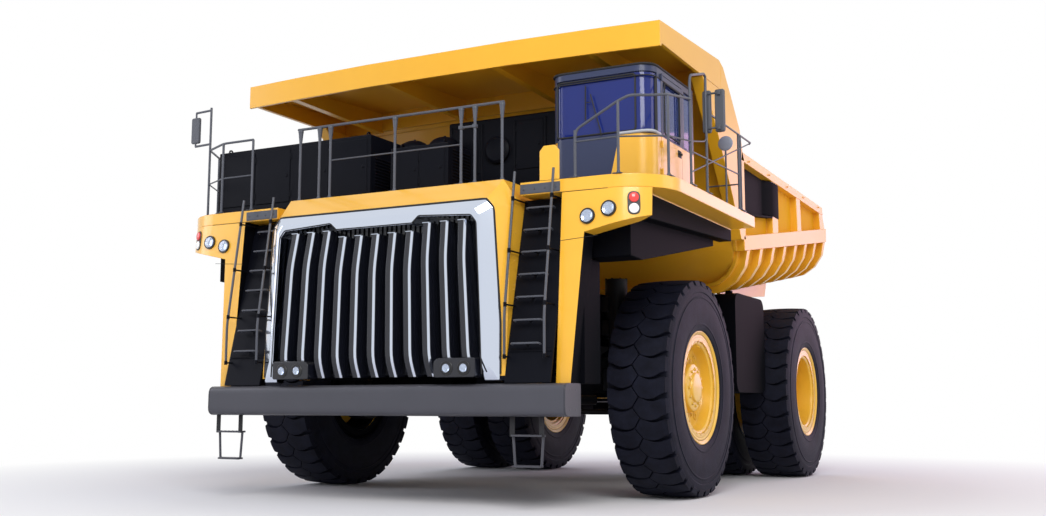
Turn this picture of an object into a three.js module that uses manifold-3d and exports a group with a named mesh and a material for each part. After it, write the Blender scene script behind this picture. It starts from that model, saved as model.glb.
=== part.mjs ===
// A rigid-frame mining dump truck, built as an assembly of named pieces.
// Millimetres. +Z is up, the truck faces -Y, and its left side is +X.
// The origin is on the ground, under the middle of the truck.
import * as THREE from 'three';
import { mergeVertices } from 'three/addons/utils/BufferGeometryUtils.js';
import Module from 'manifold-3d';

const wasm = await Module();
wasm.setup();
const { Manifold } = wasm;

// ---------------------------------------------------------------- driving dimensions

const GAP = 0.3;                       // between pieces that touch
const RUN = 6;                         // between pieces that move past each other

const FRONT_AXLE_Y = -2150;
const REAR_AXLE_Y = 3290;
const NOSE_Y = -5450;                  // front face of the bumper

const TYRE_RADIUS = 1530;
const TYRE_WIDTH = 888;
const TYRE_SIDES = 20;
const RIM_RADIUS = 800;                // flange
const BEAD_RADIUS = 655;
const FRONT_WHEEL_X = 2939;
const REAR_INNER_X = 1984;
const REAR_OUTER_X = 3106;

const KINGPIN_X = 2050;
const TIE_ROD_ARM_LENGTH = 620;        // from the kingpin to the tie rod's pin, straight back
const TIE_ROD_Z = 1180;
const STEER_CYLINDER_PIN = [-78, 443]; // cylinder pin from the kingpin, x and y
const STEER_CYLINDER_ANCHOR = [1000, -600]; // on the frame: x, and y from the front axle
const STEER_CYLINDER_Z = 1360;

const RAIL_INNER_X = 520;
const RAIL_OUTER_X = 860;
const RAIL_BOTTOM_Z = 1430;

const BUMPER_HALF_WIDTH = 2770;
const BUMPER_DEPTH = 450;
const BUMPER_Z = [1145, 1545];

const DECK_TOP_Z = 4090;
const DECK_THICKNESS = 170;
const DECK_FRONT_Y = -5050;
const DECK_REAR_Y = -1100;
const DECK_INNER_X = 1960;
const DECK_OUTER_X = 3870;
const DECK_CORNER = 700;               // plan radius of the front corners

const HOOD_HALF_WIDTH = 1910;
const HOOD_TOP_Z = 4160;
const HOOD_BOTTOM_Z = 1640;
const HOOD_FRONT_Y = -5350;
const ENGINE_BAY_HALF_WIDTH = 1300;

const CAB_X = [1840, 3340];
const CAB_Y = [-3950, -2300];
const CAB_Z = [4110, 5800];
const CAB_WALL = 60;
const CAB_CORNER = 230;

const BODY_HALF_WIDTH = 3480;
const BODY_SLOPE = 0.1513;             // rise of the floor towards the tail
const BODY_WALL = 60;
const BODY_FRONT_Y = -330;             // lower front corner of the side wall
const BODY_TAIL_Y = 5430;
const BODY_CORNER = 560;               // radius between side wall and floor
const BODY_RIB = 130;
const CANOPY_FRONT_Y = -3980;

const BED_PIVOT = [4300, 2750];        // y and z
const HOIST_X = 1200;
const HOIST_FOOT = [-50, 1350];        // y and z, on the frame
const HOIST_EYE = [2050, 3000];        // y and z, on the bed

// ---------------------------------------------------------------- paint and metal

const YELLOW = { color: 0xf2b632, roughness: 0.4, metalness: 0 };
const BLACK = { color: 0x1b1d22, roughness: 0.5, metalness: 0 };
const DARK_GREY = { color: 0x45464a, roughness: 0.5, metalness: 0 };
const RAIL_GREY = { color: 0x5c5f66, roughness: 0.5, metalness: 0.2 };
const CHROME = { color: 0xd8dade, roughness: 0.1, metalness: 1 };
const STEEL = { color: 0x8b8f96, roughness: 0.4, metalness: 0.9 };
const RUBBER = { color: 0x202022, roughness: 0.9, metalness: 0 };
const GLASS = { color: 0x3c5a96, roughness: 0.05, metalness: 0, transparent: true, opacity: 0.4 };
const SEAT_CLOTH = { color: 0x2a2a2e, roughness: 0.9, metalness: 0 };

// ---------------------------------------------------------------- shapes

// a closed geometry as a solid that can be joined and cut
function solid(geometry) {
  const bare = geometry.index ? geometry : geometry.clone();
  for (const name of Object.keys(bare.attributes)) {
    if (name !== 'position') bare.deleteAttribute(name);
  }
  const merged = mergeVertices(bare, 1e-3);
  return new Manifold(new wasm.Mesh({
    numProp: 3,
    vertProperties: new Float32Array(merged.attributes.position.array),
    triVerts: new Uint32Array(merged.index.array),
  }));
}

function join(...pieces) {
  return Manifold.union(pieces.flat());
}

// a box between two corners, each axis given as [low, high]
function block(x, y, z) {
  const box = new THREE.BoxGeometry(x[1] - x[0], y[1] - y[0], z[1] - z[0]);
  box.translate((x[0] + x[1]) / 2, (y[0] + y[1]) / 2, (z[0] + z[1]) / 2);
  return solid(box);
}

function outlineShape(outline) {
  return outline instanceof THREE.Shape
    ? outline
    : new THREE.Shape(outline.map(([u, v]) => new THREE.Vector2(u, v)));
}

function extruded(outline, depth, curveSegments) {
  const settings = { depth, bevelEnabled: false, curveSegments };
  return new THREE.ExtrudeGeometry(outlineShape(outline), settings);
}

// an outline in (y, z) run along X
function prismX(outline, [low, high], curveSegments = 6) {
  const geometry = extruded(outline, high - low, curveSegments);
  const [x, y, z] = [new THREE.Vector3(1, 0, 0), new THREE.Vector3(0, 1, 0), new THREE.Vector3(0, 0, 1)];
  geometry.applyMatrix4(new THREE.Matrix4().makeBasis(y, z, x));
  geometry.translate(low, 0, 0);
  return solid(geometry);
}

// an outline in (x, z) run along Y
function prismY(outline, [low, high], curveSegments = 6) {
  const geometry = extruded(outline, high - low, curveSegments);
  geometry.rotateX(Math.PI / 2);
  geometry.translate(0, high, 0);
  return solid(geometry);
}

// an outline in (x, y) run along Z
function prismZ(outline, [low, high], curveSegments = 6) {
  const geometry = extruded(outline, high - low, curveSegments);
  geometry.translate(0, 0, low);
  return solid(geometry);
}

// a round bar from one point to another
function bar(from, to, radius, sides = 8, endRadius = radius) {
  const a = new THREE.Vector3(...from);
  const b = new THREE.Vector3(...to);
  const geometry = new THREE.CylinderGeometry(endRadius, radius, a.distanceTo(b), sides);
  const turn = new THREE.Quaternion().setFromUnitVectors(
    new THREE.Vector3(0, 1, 0), b.clone().sub(a).normalize());
  geometry.applyQuaternion(turn);
  geometry.translate(...a.add(b).multiplyScalar(0.5).toArray());
  return solid(geometry);
}

// a bent rail through the given points, each length running a little into the next
function rail(points, radius = 21, sides = 5) {
  const at = (i) => new THREE.Vector3(...points[i]);
  const pieces = [];
  for (let i = 1; i < points.length; i += 1) {
    const reach = at(i).sub(at(i - 1)).normalize().multiplyScalar(radius * 0.7);
    pieces.push(bar(at(i - 1).sub(reach).toArray(), at(i).add(reach).toArray(), radius, sides));
  }
  return join(pieces);
}

// a profile of [radius, x] turned about the X axis
function turnedX(profile, sides = TYRE_SIDES) {
  const geometry = new THREE.LatheGeometry(
    profile.map(([r, x]) => new THREE.Vector2(r, x)), sides, Math.PI / sides);
  geometry.rotateZ(-Math.PI / 2);
  const turned = solid(geometry);
  return turned.volume() > 0 ? turned : solid(flipped(geometry));
}

// the same geometry with its faces turned inside out
function flipped(geometry) {
  const index = geometry.index.array;
  for (let i = 0; i < index.length; i += 3) {
    [index[i], index[i + 1]] = [index[i + 1], index[i]];
  }
  return geometry;
}

// the same solid on the truck's other side
function mirrored(piece) {
  return piece.mirror([1, 0, 0]);
}

const truck = new THREE.Group();

// adds a finished piece to a group as a named mesh
function place(name, piece, look, group = truck) {
  const { vertProperties, triVerts } = piece.getMesh();
  const geometry = new THREE.BufferGeometry();
  geometry.setAttribute('position', new THREE.BufferAttribute(vertProperties, 3));
  geometry.setIndex(new THREE.BufferAttribute(triVerts, 1));
  const mesh = new THREE.Mesh(geometry, new THREE.MeshStandardMaterial(look));
  mesh.name = name;
  group.add(mesh);
}

function groupAt(x, y, z) {
  const group = new THREE.Group();
  group.position.set(x, y, z);
  truck.add(group);
  return group;
}

const SIDES = [['left', 1], ['right', -1]];

// ---------------------------------------------------------------- frame

// Two deep box rails, low at the bumper and high over the rear axle, tied by cross-members.
function frameRail() {
  const outline = [
    [NOSE_Y + BUMPER_DEPTH + GAP, 1180], [-4500, 1180], [-4250, RAIL_BOTTOM_Z], [1300, RAIL_BOTTOM_Z],
    [2100, 2230], [4380, 2230], [4440, 2300], [4440, 2660], [1500, 2660], [900, 2250],
    [-3900, 2250], [-4250, 1540], [NOSE_Y + BUMPER_DEPTH + GAP, 1540],
  ];
  return prismX(outline, [RAIL_INNER_X, RAIL_OUTER_X]);
}

function mainFrame() {
  const rightRail = mirrored(frameRail());
  const crossTube = (y, z, radius) => bar([-RAIL_OUTER_X + 20, y, z], [RAIL_OUTER_X - 20, y, z], radius, 12);
  const crossMembers = [
    block([-600, 600], [-4700, -4450], [1200, 1500]),
    crossTube(300, 1850, 230),
    crossTube(2500, 2440, 170),
    crossTube(3600, 2440, 160),
  ];
  const brackets = [];
  for (const side of [1, -1]) {
    const across = (a, b) => [Math.min(side * a, side * b), Math.max(side * a, side * b)];
    // the outrigger that carries the front suspension strut
    const outrigger = [[820, 1560], [1880, 2140], [1880, 2900], [1500, 2900], [820, 2240]]
      .map(([x, z]) => [side * x, z]);
    brackets.push(prismY(outrigger, [FRONT_AXLE_Y - 240, FRONT_AXLE_Y + 240]));
    // lugs for the steering cylinder, above and below its eye
    const [anchorX, anchorY] = STEER_CYLINDER_ANCHOR;
    for (const z of [STEER_CYLINDER_Z - 120, STEER_CYLINDER_Z + 80]) {
      brackets.push(block(across(820, anchorX + 70),
        [FRONT_AXLE_Y + anchorY - 80, FRONT_AXLE_Y + anchorY + 80], [z, z + 40]));
    }
    brackets.push(block(across(700, 860),
      [FRONT_AXLE_Y + anchorY - 80, FRONT_AXLE_Y + anchorY + 80], [STEER_CYLINDER_Z - 120, 1500]));
    // lugs for the hoist cylinder's foot
    const [footY, footZ] = HOIST_FOOT;
    for (const x of [HOIST_X - 180, HOIST_X + 120]) {
      brackets.push(block(across(x, x + 60), [footY - 220, footY + 110], [footZ - 130, footZ + 130]));
    }
    brackets.push(block(across(820, HOIST_X + 180), [footY - 220, footY - 160], [footZ - 130, footZ + 130]));
    // the rear strut's bracket and the bed's pivot ear
    brackets.push(block(across(820, 1300), [3820, 4080], [2500, 2620]));
    const ear = [[4060, 2500], [4440, 2500], [4440, 2800], [4380, 2890], [4220, 2890], [4160, 2800]];
    brackets.push(prismX(ear, across(560, 820)));
    // posts that carry the deck
    brackets.push(block(across(820, 1230), [-1400, -1200], [1900, 2100]));
    brackets.push(block(across(1130, 1230), [-1400, -1200], [1900, DECK_TOP_Z - DECK_THICKNESS - 60]));
    brackets.push(block(across(1130, 2300), [-1400, -1200],
      [DECK_TOP_Z - DECK_THICKNESS - 120, DECK_TOP_Z - DECK_THICKNESS - GAP]));
  }
  const pinHole = bar([-900, ...BED_PIVOT], [900, ...BED_PIVOT], 96, 16);
  return join(frameRail(), rightRail, crossMembers, brackets).subtract(pinHole);
}
place('main_frame', mainFrame(), BLACK);

// ---------------------------------------------------------------- bumper and steps

function frontBumper() {
  const [low, high] = BUMPER_Z;
  const front = NOSE_Y;
  const rear = NOSE_Y + BUMPER_DEPTH;
  const round = 60;
  const outline = [
    [front, low + round], [front + round, low], [rear, low], [rear, high],
    [front + round, high], [front, high - round],
  ];
  const beam = prismX(outline, [-BUMPER_HALF_WIDTH, BUMPER_HALF_WIDTH]);
  const pieces = [beam];
  // hanging steps, one under each ladder
  for (const side of [1, -1]) {
    const x = side * 2180;
    const [y, stepLow] = [front + 200, 545];
    pieces.push(rail([[x - 220, y, low + 20], [x - 170, y, stepLow]], 18));
    pieces.push(rail([[x + 220, y, low + 20], [x + 170, y, stepLow]], 18));
    pieces.push(block([x - 200, x + 200], [y - 60, y + 60], [stepLow - 20, stepLow + 20]));
    pieces.push(block([x - 225, x + 225], [y - 60, y + 60], [900, 930]));
  }
  return join(pieces);
}
place('front_bumper', frontBumper(), DARK_GREY);

// ---------------------------------------------------------------- hood, grille and engine

const GRILLE_FRONT_Y = HOOD_FRONT_Y - 120;   // the chrome surround's rim
const BLADE_NOSE_Y = GRILLE_FRONT_Y - 45;
const HOOD_SIDE_CUT_Z = 3900;                // where the long top bevel meets the side

// a convex block through points given for the left half, mirrored to the right
function mirroredHull(points) {
  return Manifold.hull([...points, ...points.map(([x, y, z]) => [-x, y, z])]);
}

// An open-bottomed shell: a wide nose round the radiator, then a narrow bay over the engine.
function hood() {
  const noseRear = -4300;
  const rear = -1500;
  const skin = 50;
  const nose = (inset) => {
    const x = (half) => half - inset;
    const [side, foot] = [x(HOOD_HALF_WIDTH), HOOD_BOTTOM_Z - inset];
    return mirroredHull([
      [x(1850), HOOD_FRONT_Y + inset, foot], [x(1850), HOOD_FRONT_Y + inset, 2300],
      [x(1750), HOOD_FRONT_Y + inset, 3760], [x(1650), HOOD_FRONT_Y + inset, 3875 - inset],
      [side, HOOD_FRONT_Y + 25 + inset, foot], [side, HOOD_FRONT_Y + 155 + inset, 3720],
      [side, DECK_FRONT_Y - 20 + inset, HOOD_SIDE_CUT_Z - inset],
      [x(1720), DECK_FRONT_Y + inset, HOOD_TOP_Z - inset],
      [side, noseRear - inset, foot], [side, noseRear - inset, HOOD_SIDE_CUT_Z - inset],
      [x(1720), noseRear - inset, HOOD_TOP_Z - inset],
    ]);
  };
  const bay = (inset) => block(
    [-ENGINE_BAY_HALF_WIDTH + inset, ENGINE_BAY_HALF_WIDTH - inset],
    [noseRear - 200, rear - inset], [3000 - inset, HOOD_TOP_Z - inset]);
  const inner = join(nose(skin), bay(skin));
  const mouth = prismY(grilleOutline(GAP), [HOOD_FRONT_Y - 10, HOOD_FRONT_Y + 200]);
  return join(nose(0), bay(0)).subtract(join(inner, mouth));
}

// the tapered face of the hood that the chrome surround fills
function grilleOutline(growth) {
  const half = [[1845, HOOD_BOTTOM_Z - 60], [1845, 2300], [1745, 3745], [1640, 3860]];
  return [
    ...half.map(([x, z]) => [x + growth, z + (z > 3000 ? growth : 0)]),
    ...half.reverse().map(([x, z]) => [-x - growth, z + (z > 3000 ? growth : 0)]),
  ];
}

const GRILLE_OPENING = [
  [1630, 1400], [1605, 2300], [1545, 3560], [1470, 3645], [700, 3690], [600, 3600],
];

// A proud frame whose face slopes forward to its rim, open below, its two feet drawn back.
function grilleSurround() {
  const seat = grilleOutline(0).map(([x, z]) => [x, HOOD_FRONT_Y - 10, z]);
  const rim = [[1680, 1860], [1655, 2300], [1590, 3640], [1520, 3735]];
  const body = Manifold.hull([
    ...seat, ...seat.map(([x, , z]) => [x, HOOD_FRONT_Y + 150, z]),
    ...rim.flatMap(([x, z]) => [[x, GRILLE_FRONT_Y, z], [-x, GRILLE_FRONT_Y, z]]),
  ]);
  const opening = [...GRILLE_OPENING, ...GRILLE_OPENING.map(([x, z]) => [-x, z]).reverse()];
  return body.subtract(prismY(opening, [GRILLE_FRONT_Y - 10, HOOD_FRONT_Y + 160]));
}

// the upright blades and the dark core behind them, one welded panel
const BLADES = 11;
const BLADE_HALF = 62;
const FOG_LAMP_BOX = [[980, 1580], [1620, 1870]];   // x and z

// Blades and lamp boxes in front of a dark core. The blades spread a little towards their feet.
function grilleBars() {
  const back = HOOD_FRONT_Y + 160;
  const pieces = [
    block([-1700, 1700], [HOOD_FRONT_Y + 150 + GAP, HOOD_FRONT_Y + 210], [HOOD_BOTTOM_Z + 20, 3720]),
  ];
  const middle = (BLADES - 1) / 2;
  for (let i = -middle; i <= middle; i += 1) {
    const top = Math.abs(i) > 2 ? 3615 : 3520;
    const profile = [
      [BLADE_NOSE_Y + 75, top], [BLADE_NOSE_Y, top - 480], [BLADE_NOSE_Y, 1850],
      [BLADE_NOSE_Y + 110, 1620], [back, 1620], [back, top],
    ];
    const blade = prismX(profile, [-BLADE_HALF, BLADE_HALF]);
    pieces.push(blade.warp((v) => { v[0] += i * (278 - 0.0118 * (v[2] - 2500)); }));
  }
  const box = FOG_LAMP_BOX[0];
  for (const side of [1, -1]) {
    const across = [side * box[0], side * box[1]].sort((a, b) => a - b);
    pieces.push(block(across, [BLADE_NOSE_Y - 5, back], FOG_LAMP_BOX[1]));
  }
  return join(pieces);
}

place('hood', hood(), YELLOW);
place('grille_surround', grilleSurround(), CHROME);
place('grille_bars', grilleBars(), BLACK);
place('engine_block', join(
  block([-480, 480], [-4200, -1650], [1480, 2600]),
  block([-750, 750], [-4000, -1800], [2550, 3300]),
), BLACK);

// ---------------------------------------------------------------- decks and fenders

// plan of the rounded front corner, from the front edge round to the side
function deckCorner(plan, side, sweep) {
  const cx = side * (DECK_OUTER_X - DECK_CORNER);
  const cy = DECK_FRONT_Y + DECK_CORNER;
  const steps = 6;
  for (let i = 0; i <= steps; i += 1) {
    const a = (i / steps) * sweep;
    plan.push([cx + side * DECK_CORNER * Math.sin(a), cy - DECK_CORNER * Math.cos(a)]);
  }
  return plan;
}

// One side's deck: tread plate with a deep edge, on a black housing over the front tyre.
function deck(side) {
  const across = (a, b) => [Math.min(side * a, side * b), Math.max(side * a, side * b)];
  const under = DECK_TOP_Z - DECK_THICKNESS;
  const outline = deckCorner([[side * DECK_INNER_X, DECK_FRONT_Y]], side, Math.PI / 2);
  outline.push([side * DECK_OUTER_X, DECK_REAR_Y], [side * DECK_INNER_X, DECK_REAR_Y]);
  const plate = prismZ(outline, [under, DECK_TOP_Z]);
  const walkway = block(across(ENGINE_BAY_HALF_WIDTH + GAP, DECK_INNER_X + 10),
    [-4300 + GAP, DECK_REAR_Y], [DECK_TOP_Z - 60, DECK_TOP_Z]);
  const [front, rear] = [-4700, -1420];
  const housing = prismX([[front, 3120], [front + 400, 3105], [rear, 3640], [rear, under + 10],
    [front, under + 10]], across(2330, 3320));
  const upperBox = prismX([[front, 3590], [DECK_REAR_Y, 3740], [DECK_REAR_Y, under + 10],
    [front, under + 10]], across(3300, 3500));
  if (side < 0) return join(plate, walkway, housing, upperBox);
  // an upright hand guard beside the left ladder's head
  const guard = prismY([[2230, DECK_TOP_Z - 20], [2505, DECK_TOP_Z - 20], [2505, 4470], [2445, 4540],
    [2290, 4540], [2230, 4470]], [DECK_FRONT_Y + 10, DECK_FRONT_Y + 40]);
  return join(plate, walkway, housing, upperBox, guard);
}

// The front pillar, standing on the bumper, and the lamp pod that it carries round the corner.
// Both lean back together as they rise.
function fender(side) {
  const pillarFoot = BUMPER_Z[1] + GAP;
  const podTop = DECK_TOP_Z - DECK_THICKNESS - GAP;
  const front = DECK_FRONT_Y;
  const pillar = prismY([
    [side * 2550, pillarFoot], [side * 2745, pillarFoot], [side * 2870, 3400], [side * 2870, podTop - 20],
    [side * 2550, podTop - 20],
  ], [front, front + 290]);
  const plan = deckCorner([[side * 2550, front]], side, 0.8);
  plan.push([side * 3480, front + 330], [side * 2550, front + 290]);
  const below = prismY([[side * 2540, 3330], [side * 2870, 3390], [side * 3900, 3620], [side * 3900, 3200],
    [side * 2540, 3200]], [front - 10, front + 400]);
  // the dark box section behind the pillar, which stops short of the deck's housing
  const column = prismX([
    [front + 80, pillarFoot], [front + 560, pillarFoot], [front + 560, 3090],
    [front + 330, 3090], [front + 330, podTop - 60], [front + 80, podTop - 60],
  ], [side * 2560, side * 2810].sort((a, b) => a - b));
  const leaning = join(pillar, prismZ(plan, [3300, podTop]).subtract(below));
  return join(leaning.warp((v) => { v[1] += 0.08 * (v[2] - podTop); }), column);
}

for (const [name, side] of SIDES) {
  place(`deck_${name}`, deck(side), YELLOW);
  place(`fender_${name}`, fender(side), YELLOW);
}

// ---------------------------------------------------------------- ladders

// Seven rungs on an inclined back plate, each on its own bracket, between two grab rails.
function ladder(side) {
  const [bottom, top] = [BUMPER_Z[1] + GAP, DECK_TOP_Z - DECK_THICKNESS - 20];
  const leanBack = 0.24;
  const rungFace = (z) => -5390 + leanBack * (z - 2030);
  const plateFace = (z) => rungFace(z) + 120;
  const across = (a, b) => [side * a, side * b].sort((p, q) => p - q);
  const plate = prismX([
    [plateFace(bottom), bottom], [plateFace(bottom) + 30, bottom], [plateFace(top) + 30, top], [plateFace(top), top],
  ], across(HOOD_HALF_WIDTH + 6, 2544));
  const pieces = [plate];
  for (let i = 0; i < 7; i += 1) {
    const z = 2030 + 290 * i;
    pieces.push(block(across(2005, 2390), [rungFace(z), rungFace(z) + 55], [z - 14, z + 14]));
    pieces.push(block(across(2180, 2215), [rungFace(z) + 30, plateFace(z) + 10], [z - 60, z - 4]));
  }
  for (const x of [1942, 2488]) {
    const path = [[5160, 4215], [5430, 2400], [5430, 1850]].map(([y, z]) => [side * x, -y, z]);
    pieces.push(rail(path, 17));
    for (const [y, z] of [[5213, 3860], [5313, 3190], [5414, 2510], [5430, 1870]]) {
      pieces.push(bar([side * x, -y, z], [side * x, plateFace(z) + 12, z], 12, 5));
    }
  }
  return join(pieces);
}
for (const [name, side] of SIDES) place(`ladder_${name}`, ladder(side), DARK_GREY);

// ---------------------------------------------------------------- deck cabinets

place('control_cabinet', block([-3500, -680], [-4600, -3480], [HOOD_TOP_Z + GAP, 5120]), BLACK);
place('brake_cabinet', block([-370, 580], [-4550, -3900], [HOOD_TOP_Z + GAP, 4880]), BLACK);
place('rear_cabinet', block([-430, 1700], [-2880, -1500], [HOOD_TOP_Z + GAP, 5620]), BLACK);

// Two mushroom-topped inlets on one duct.
function airIntakes() {
  const y = -3150;
  const pieces = [block([-960, -260], [y - 190, y + 190], [HOOD_TOP_Z + GAP, 4500])];
  for (const x of [-880, -335]) {
    pieces.push(bar([x, y, 4400], [x, y, 5150], 110, 12));
    pieces.push(bar([x, y, 5140], [x, y, 5270], 245, 14));
    pieces.push(bar([x, y, 5269], [x, y, 5440], 245, 14, 90));
  }
  return join(pieces);
}
place('air_intakes', airIntakes(), BLACK);

// ---------------------------------------------------------------- cab

const SILL_Z = 4870;
const HEAD_Z = 5690;
const DOOR_Y = [-3620, -2790];
const DOOR_FOOT_Z = 4220;
const DOOR_HEAD_Z = 5710;

// the cab's plan with its two rounded front corners, shrunk by an inset
function cabPlan(inset) {
  const [x0, x1] = [CAB_X[0] + inset, CAB_X[1] - inset];
  const [y0, y1] = [CAB_Y[0] + inset, CAB_Y[1] - inset];
  const r = CAB_CORNER - inset;
  const plan = new THREE.Shape();
  plan.moveTo(x1, y1);
  plan.lineTo(x0, y1);
  plan.lineTo(x0, y0 + r);
  plan.absarc(x0 + r, y0 + r, r, Math.PI, 1.5 * Math.PI, false);
  plan.lineTo(x1 - r, y0);
  plan.absarc(x1 - r, y0 + r, r, 1.5 * Math.PI, 2 * Math.PI, false);
  plan.closePath();
  return plan;
}

// where the glass band runs: round the front from door post to rear right post
const frontBand = () => block([CAB_X[0] + 90, CAB_X[1] + 10], [CAB_Y[0] - 10, CAB_Y[0] + 210], [SILL_Z, HEAD_Z]);
const rightWindow = () => block([CAB_X[0] - 10, CAB_X[0] + 90], [CAB_Y[0] + 320, CAB_Y[1] - 150], [SILL_Z, HEAD_Z]);
const rearLeftWindow = () => block([CAB_X[1] - 90, CAB_X[1] + 10], [DOOR_Y[1] + 90, CAB_Y[1] - 90], [SILL_Z, HEAD_Z]);

function cabRing(outer, inner, z) {
  return prismZ(cabPlan(outer), z, 4).subtract(prismZ(cabPlan(inner), [z[0] - 10, z[1] + 10], 4));
}

function cabShell() {
  const outside = prismZ(cabPlan(0), CAB_Z, 4);
  const inside = prismZ(cabPlan(CAB_WALL), [CAB_Z[0] + 80, CAB_Z[1] - 110], 4);
  const doorway = block([CAB_X[1] - CAB_WALL - 20, CAB_X[1] + 10], DOOR_Y, [DOOR_FOOT_Z, DOOR_HEAD_Z]);
  return outside.subtract(join(inside, frontBand(), rightWindow(), rearLeftWindow(), doorway));
}

const shrink = (piece, by) => piece.intersect(piece.translate([0, by, by])).intersect(piece.translate([0, -by, -by]))
  .intersect(piece.translate([by, 0, 0])).intersect(piece.translate([-by, 0, 0]));

place('cab_shell', cabShell(), YELLOW);
place('windscreen', cabRing(22, 38, [SILL_Z, HEAD_Z]).intersect(shrink(frontBand(), 5)), GLASS);
place('side_glass_right', block([CAB_X[0] + 22, CAB_X[0] + 38],
  [CAB_Y[0] + 325, CAB_Y[1] - 155], [SILL_Z + 5, HEAD_Z - 5]), GLASS);
place('side_glass_left', block([CAB_X[1] - 38, CAB_X[1] - 22],
  [DOOR_Y[1] + 95, CAB_Y[1] - 95], [SILL_Z + 5, HEAD_Z - 5]), GLASS);

// the door leaf, hung at its front edge, with its own window
const DOOR_GAP = 8;
const doorX = [CAB_X[1] - CAB_WALL + 5, CAB_X[1] + 4];
const doorWindow = (clear) => block([doorX[0] - 10, doorX[1] + 10],
  [DOOR_Y[0] + 100 - clear, DOOR_Y[1] - 100 + clear], [SILL_Z - clear, HEAD_Z - 60 + clear]);
place('cab_door', block(doorX, [DOOR_Y[0] + DOOR_GAP, DOOR_Y[1] - DOOR_GAP],
  [DOOR_FOOT_Z + DOOR_GAP, DOOR_HEAD_Z - DOOR_GAP]).subtract(doorWindow(0)), YELLOW);
place('door_glass', doorWindow(-5).intersect(
  block([CAB_X[1] - 38, CAB_X[1] - 22], [CAB_Y[0], CAB_Y[1]], [CAB_Z[0], CAB_Z[1]])), GLASS);

const SEAT_X = 2590;
const SEAT_Y = -2850;
place('operator_seat', join(
  block([SEAT_X - 180, SEAT_X + 180], [SEAT_Y - 180, SEAT_Y + 180], [CAB_Z[0] + 80 + GAP, 4460]),
  block([SEAT_X - 260, SEAT_X + 260], [SEAT_Y - 270, SEAT_Y + 270], [4450, 4600]),
  prismX([[SEAT_Y + 160, 4550], [SEAT_Y + 290, 4550], [SEAT_Y + 390, 5220], [SEAT_Y + 270, 5220]],
    [SEAT_X - 240, SEAT_X + 240]),
  block([SEAT_X - 150, SEAT_X + 150], [SEAT_Y + 270, SEAT_Y + 370], [5180, 5400]),
), SEAT_CLOTH);

// dashboard with the steering column and wheel standing out of it
function steeringConsole() {
  const dash = prismX([[-3860, 4190 + GAP], [-3600, 4190 + GAP], [-3560, 4700], [-3600, 4820], [-3860, 4820]],
    [2080, 3060]);
  const centre = new THREE.Vector3(SEAT_X, -3310, 4900);
  const foot = new THREE.Vector3(SEAT_X, -3640, 4560);
  const column = bar(foot.toArray(), centre.toArray(), 38, 8);
  const rim = new THREE.TorusGeometry(200, 17, 5, 16);
  const spoke = new THREE.BoxGeometry(380, 40, 16);
  const spoke2 = new THREE.BoxGeometry(40, 380, 16);
  const tilt = new THREE.Quaternion().setFromUnitVectors(
    new THREE.Vector3(0, 0, 1), centre.clone().sub(foot).normalize());
  const wheel = [rim, spoke, spoke2].map((geometry) => {
    geometry.applyQuaternion(tilt);
    geometry.translate(...centre.toArray());
    return solid(geometry);
  });
  return join(dash, column, wheel);
}
place('steering_console', steeringConsole(), BLACK);

// ---------------------------------------------------------------- handrails and mirrors

const RAIL_TOP_HOOD_Z = 5200;

function hoodRail() {
  const y = DECK_FRONT_Y + 60;
  const foot = HOOD_TOP_Z + GAP;
  const posts = [-1620, -1280, -1090, 0, 1050, 1260, 1667];
  const pieces = posts.map((x) => bar([x, y, foot], [x, y, RAIL_TOP_HOOD_Z], 24, 5));
  for (const x of posts) pieces.push(bar([x, y, foot], [x, y, foot + 90], 55, 6, 26));
  pieces.push(rail([[posts[0], y, RAIL_TOP_HOOD_Z], [posts[6], y, RAIL_TOP_HOOD_Z]]));
  pieces.push(rail([[posts[0], y, 4700], [posts[6], y, 4700]]));
  return join(pieces);
}

// two tall mirror heads side by side behind the left rail's mast
function mirrorsLeft(mastX, mastY) {
  const y = [mastY + 22, mastY + 90];
  return [
    block([3765, 3895], y, [4930, 5530]), block([3940, 4085], y, [4930, 5530]),
    bar([mastX, mastY, 5470], [4010, mastY + 40, 5470], 14, 5),
    bar([mastX, mastY, 4990], [4010, mastY + 40, 4990], 14, 5),
  ];
}

// one mirror head outboard of the right rail's mast
function mirrorRight(mastX, y) {
  const armX = mastX - 330;
  return [
    rail([[mastX, y, 5780], [armX, y, 5780], [armX, y, 5250], [mastX, y, 5200]], 17),
    block([armX - 90, armX + 90], [y + 10, y + 60], [5290, 5710]),
  ];
}

function leftRail() {
  const y = DECK_FRONT_Y + 50;
  const x = DECK_OUTER_X - 40;
  const foot = DECK_TOP_Z + GAP;
  const post = (px, py, top, radius = 24) => bar([px, py, foot], [px, py, top], radius, 5);
  const thin = 15;
  return join(
    post(2710, y, 4705), post(3290, y + 10, 5010), post(3780, -4550, 5250), post(x, -3850, 5490),
    post(x, -3200, 5720), post(x, -1730, 5230), post(x, -1640, 5230), post(x, -2350, 4870, thin),
    rail([[2710, y, 4705], [3290, y + 10, 5010], [3440, -4970, 5070], [3640, -4760, 5095], [3780, -4550, 5140],
      [x, -3850, 5245]]),
    rail([[2710, y, 4550], [3290, y + 10, 4550], [3600, -4790, 4560], [3780, -4550, 4610], [x, -3850, 4680]]),
    rail([[x, -3850, 5490], [x, -3820, 5570], [x, -3250, 5740], [x, -3200, 5700]], 17),
    rail([[x, -3850, 4680], [x, -3300, 4790], [x, -3200, 4850]], 17),
    rail([[x, -3200, 5228], [x, -1080, 5228], [x, -3850, 4270]], thin),
    rail([[x, -3850, 4550], [x, -1730, 4625]], thin),
    rail([[x, -1730, 4480], [3340, -1730, 4480]], thin),
    bar([x, -2375, 4960], [x, -2335, 4960], 108, 12),
    ...mirrorsLeft(x, -3200),
  );
}

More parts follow.
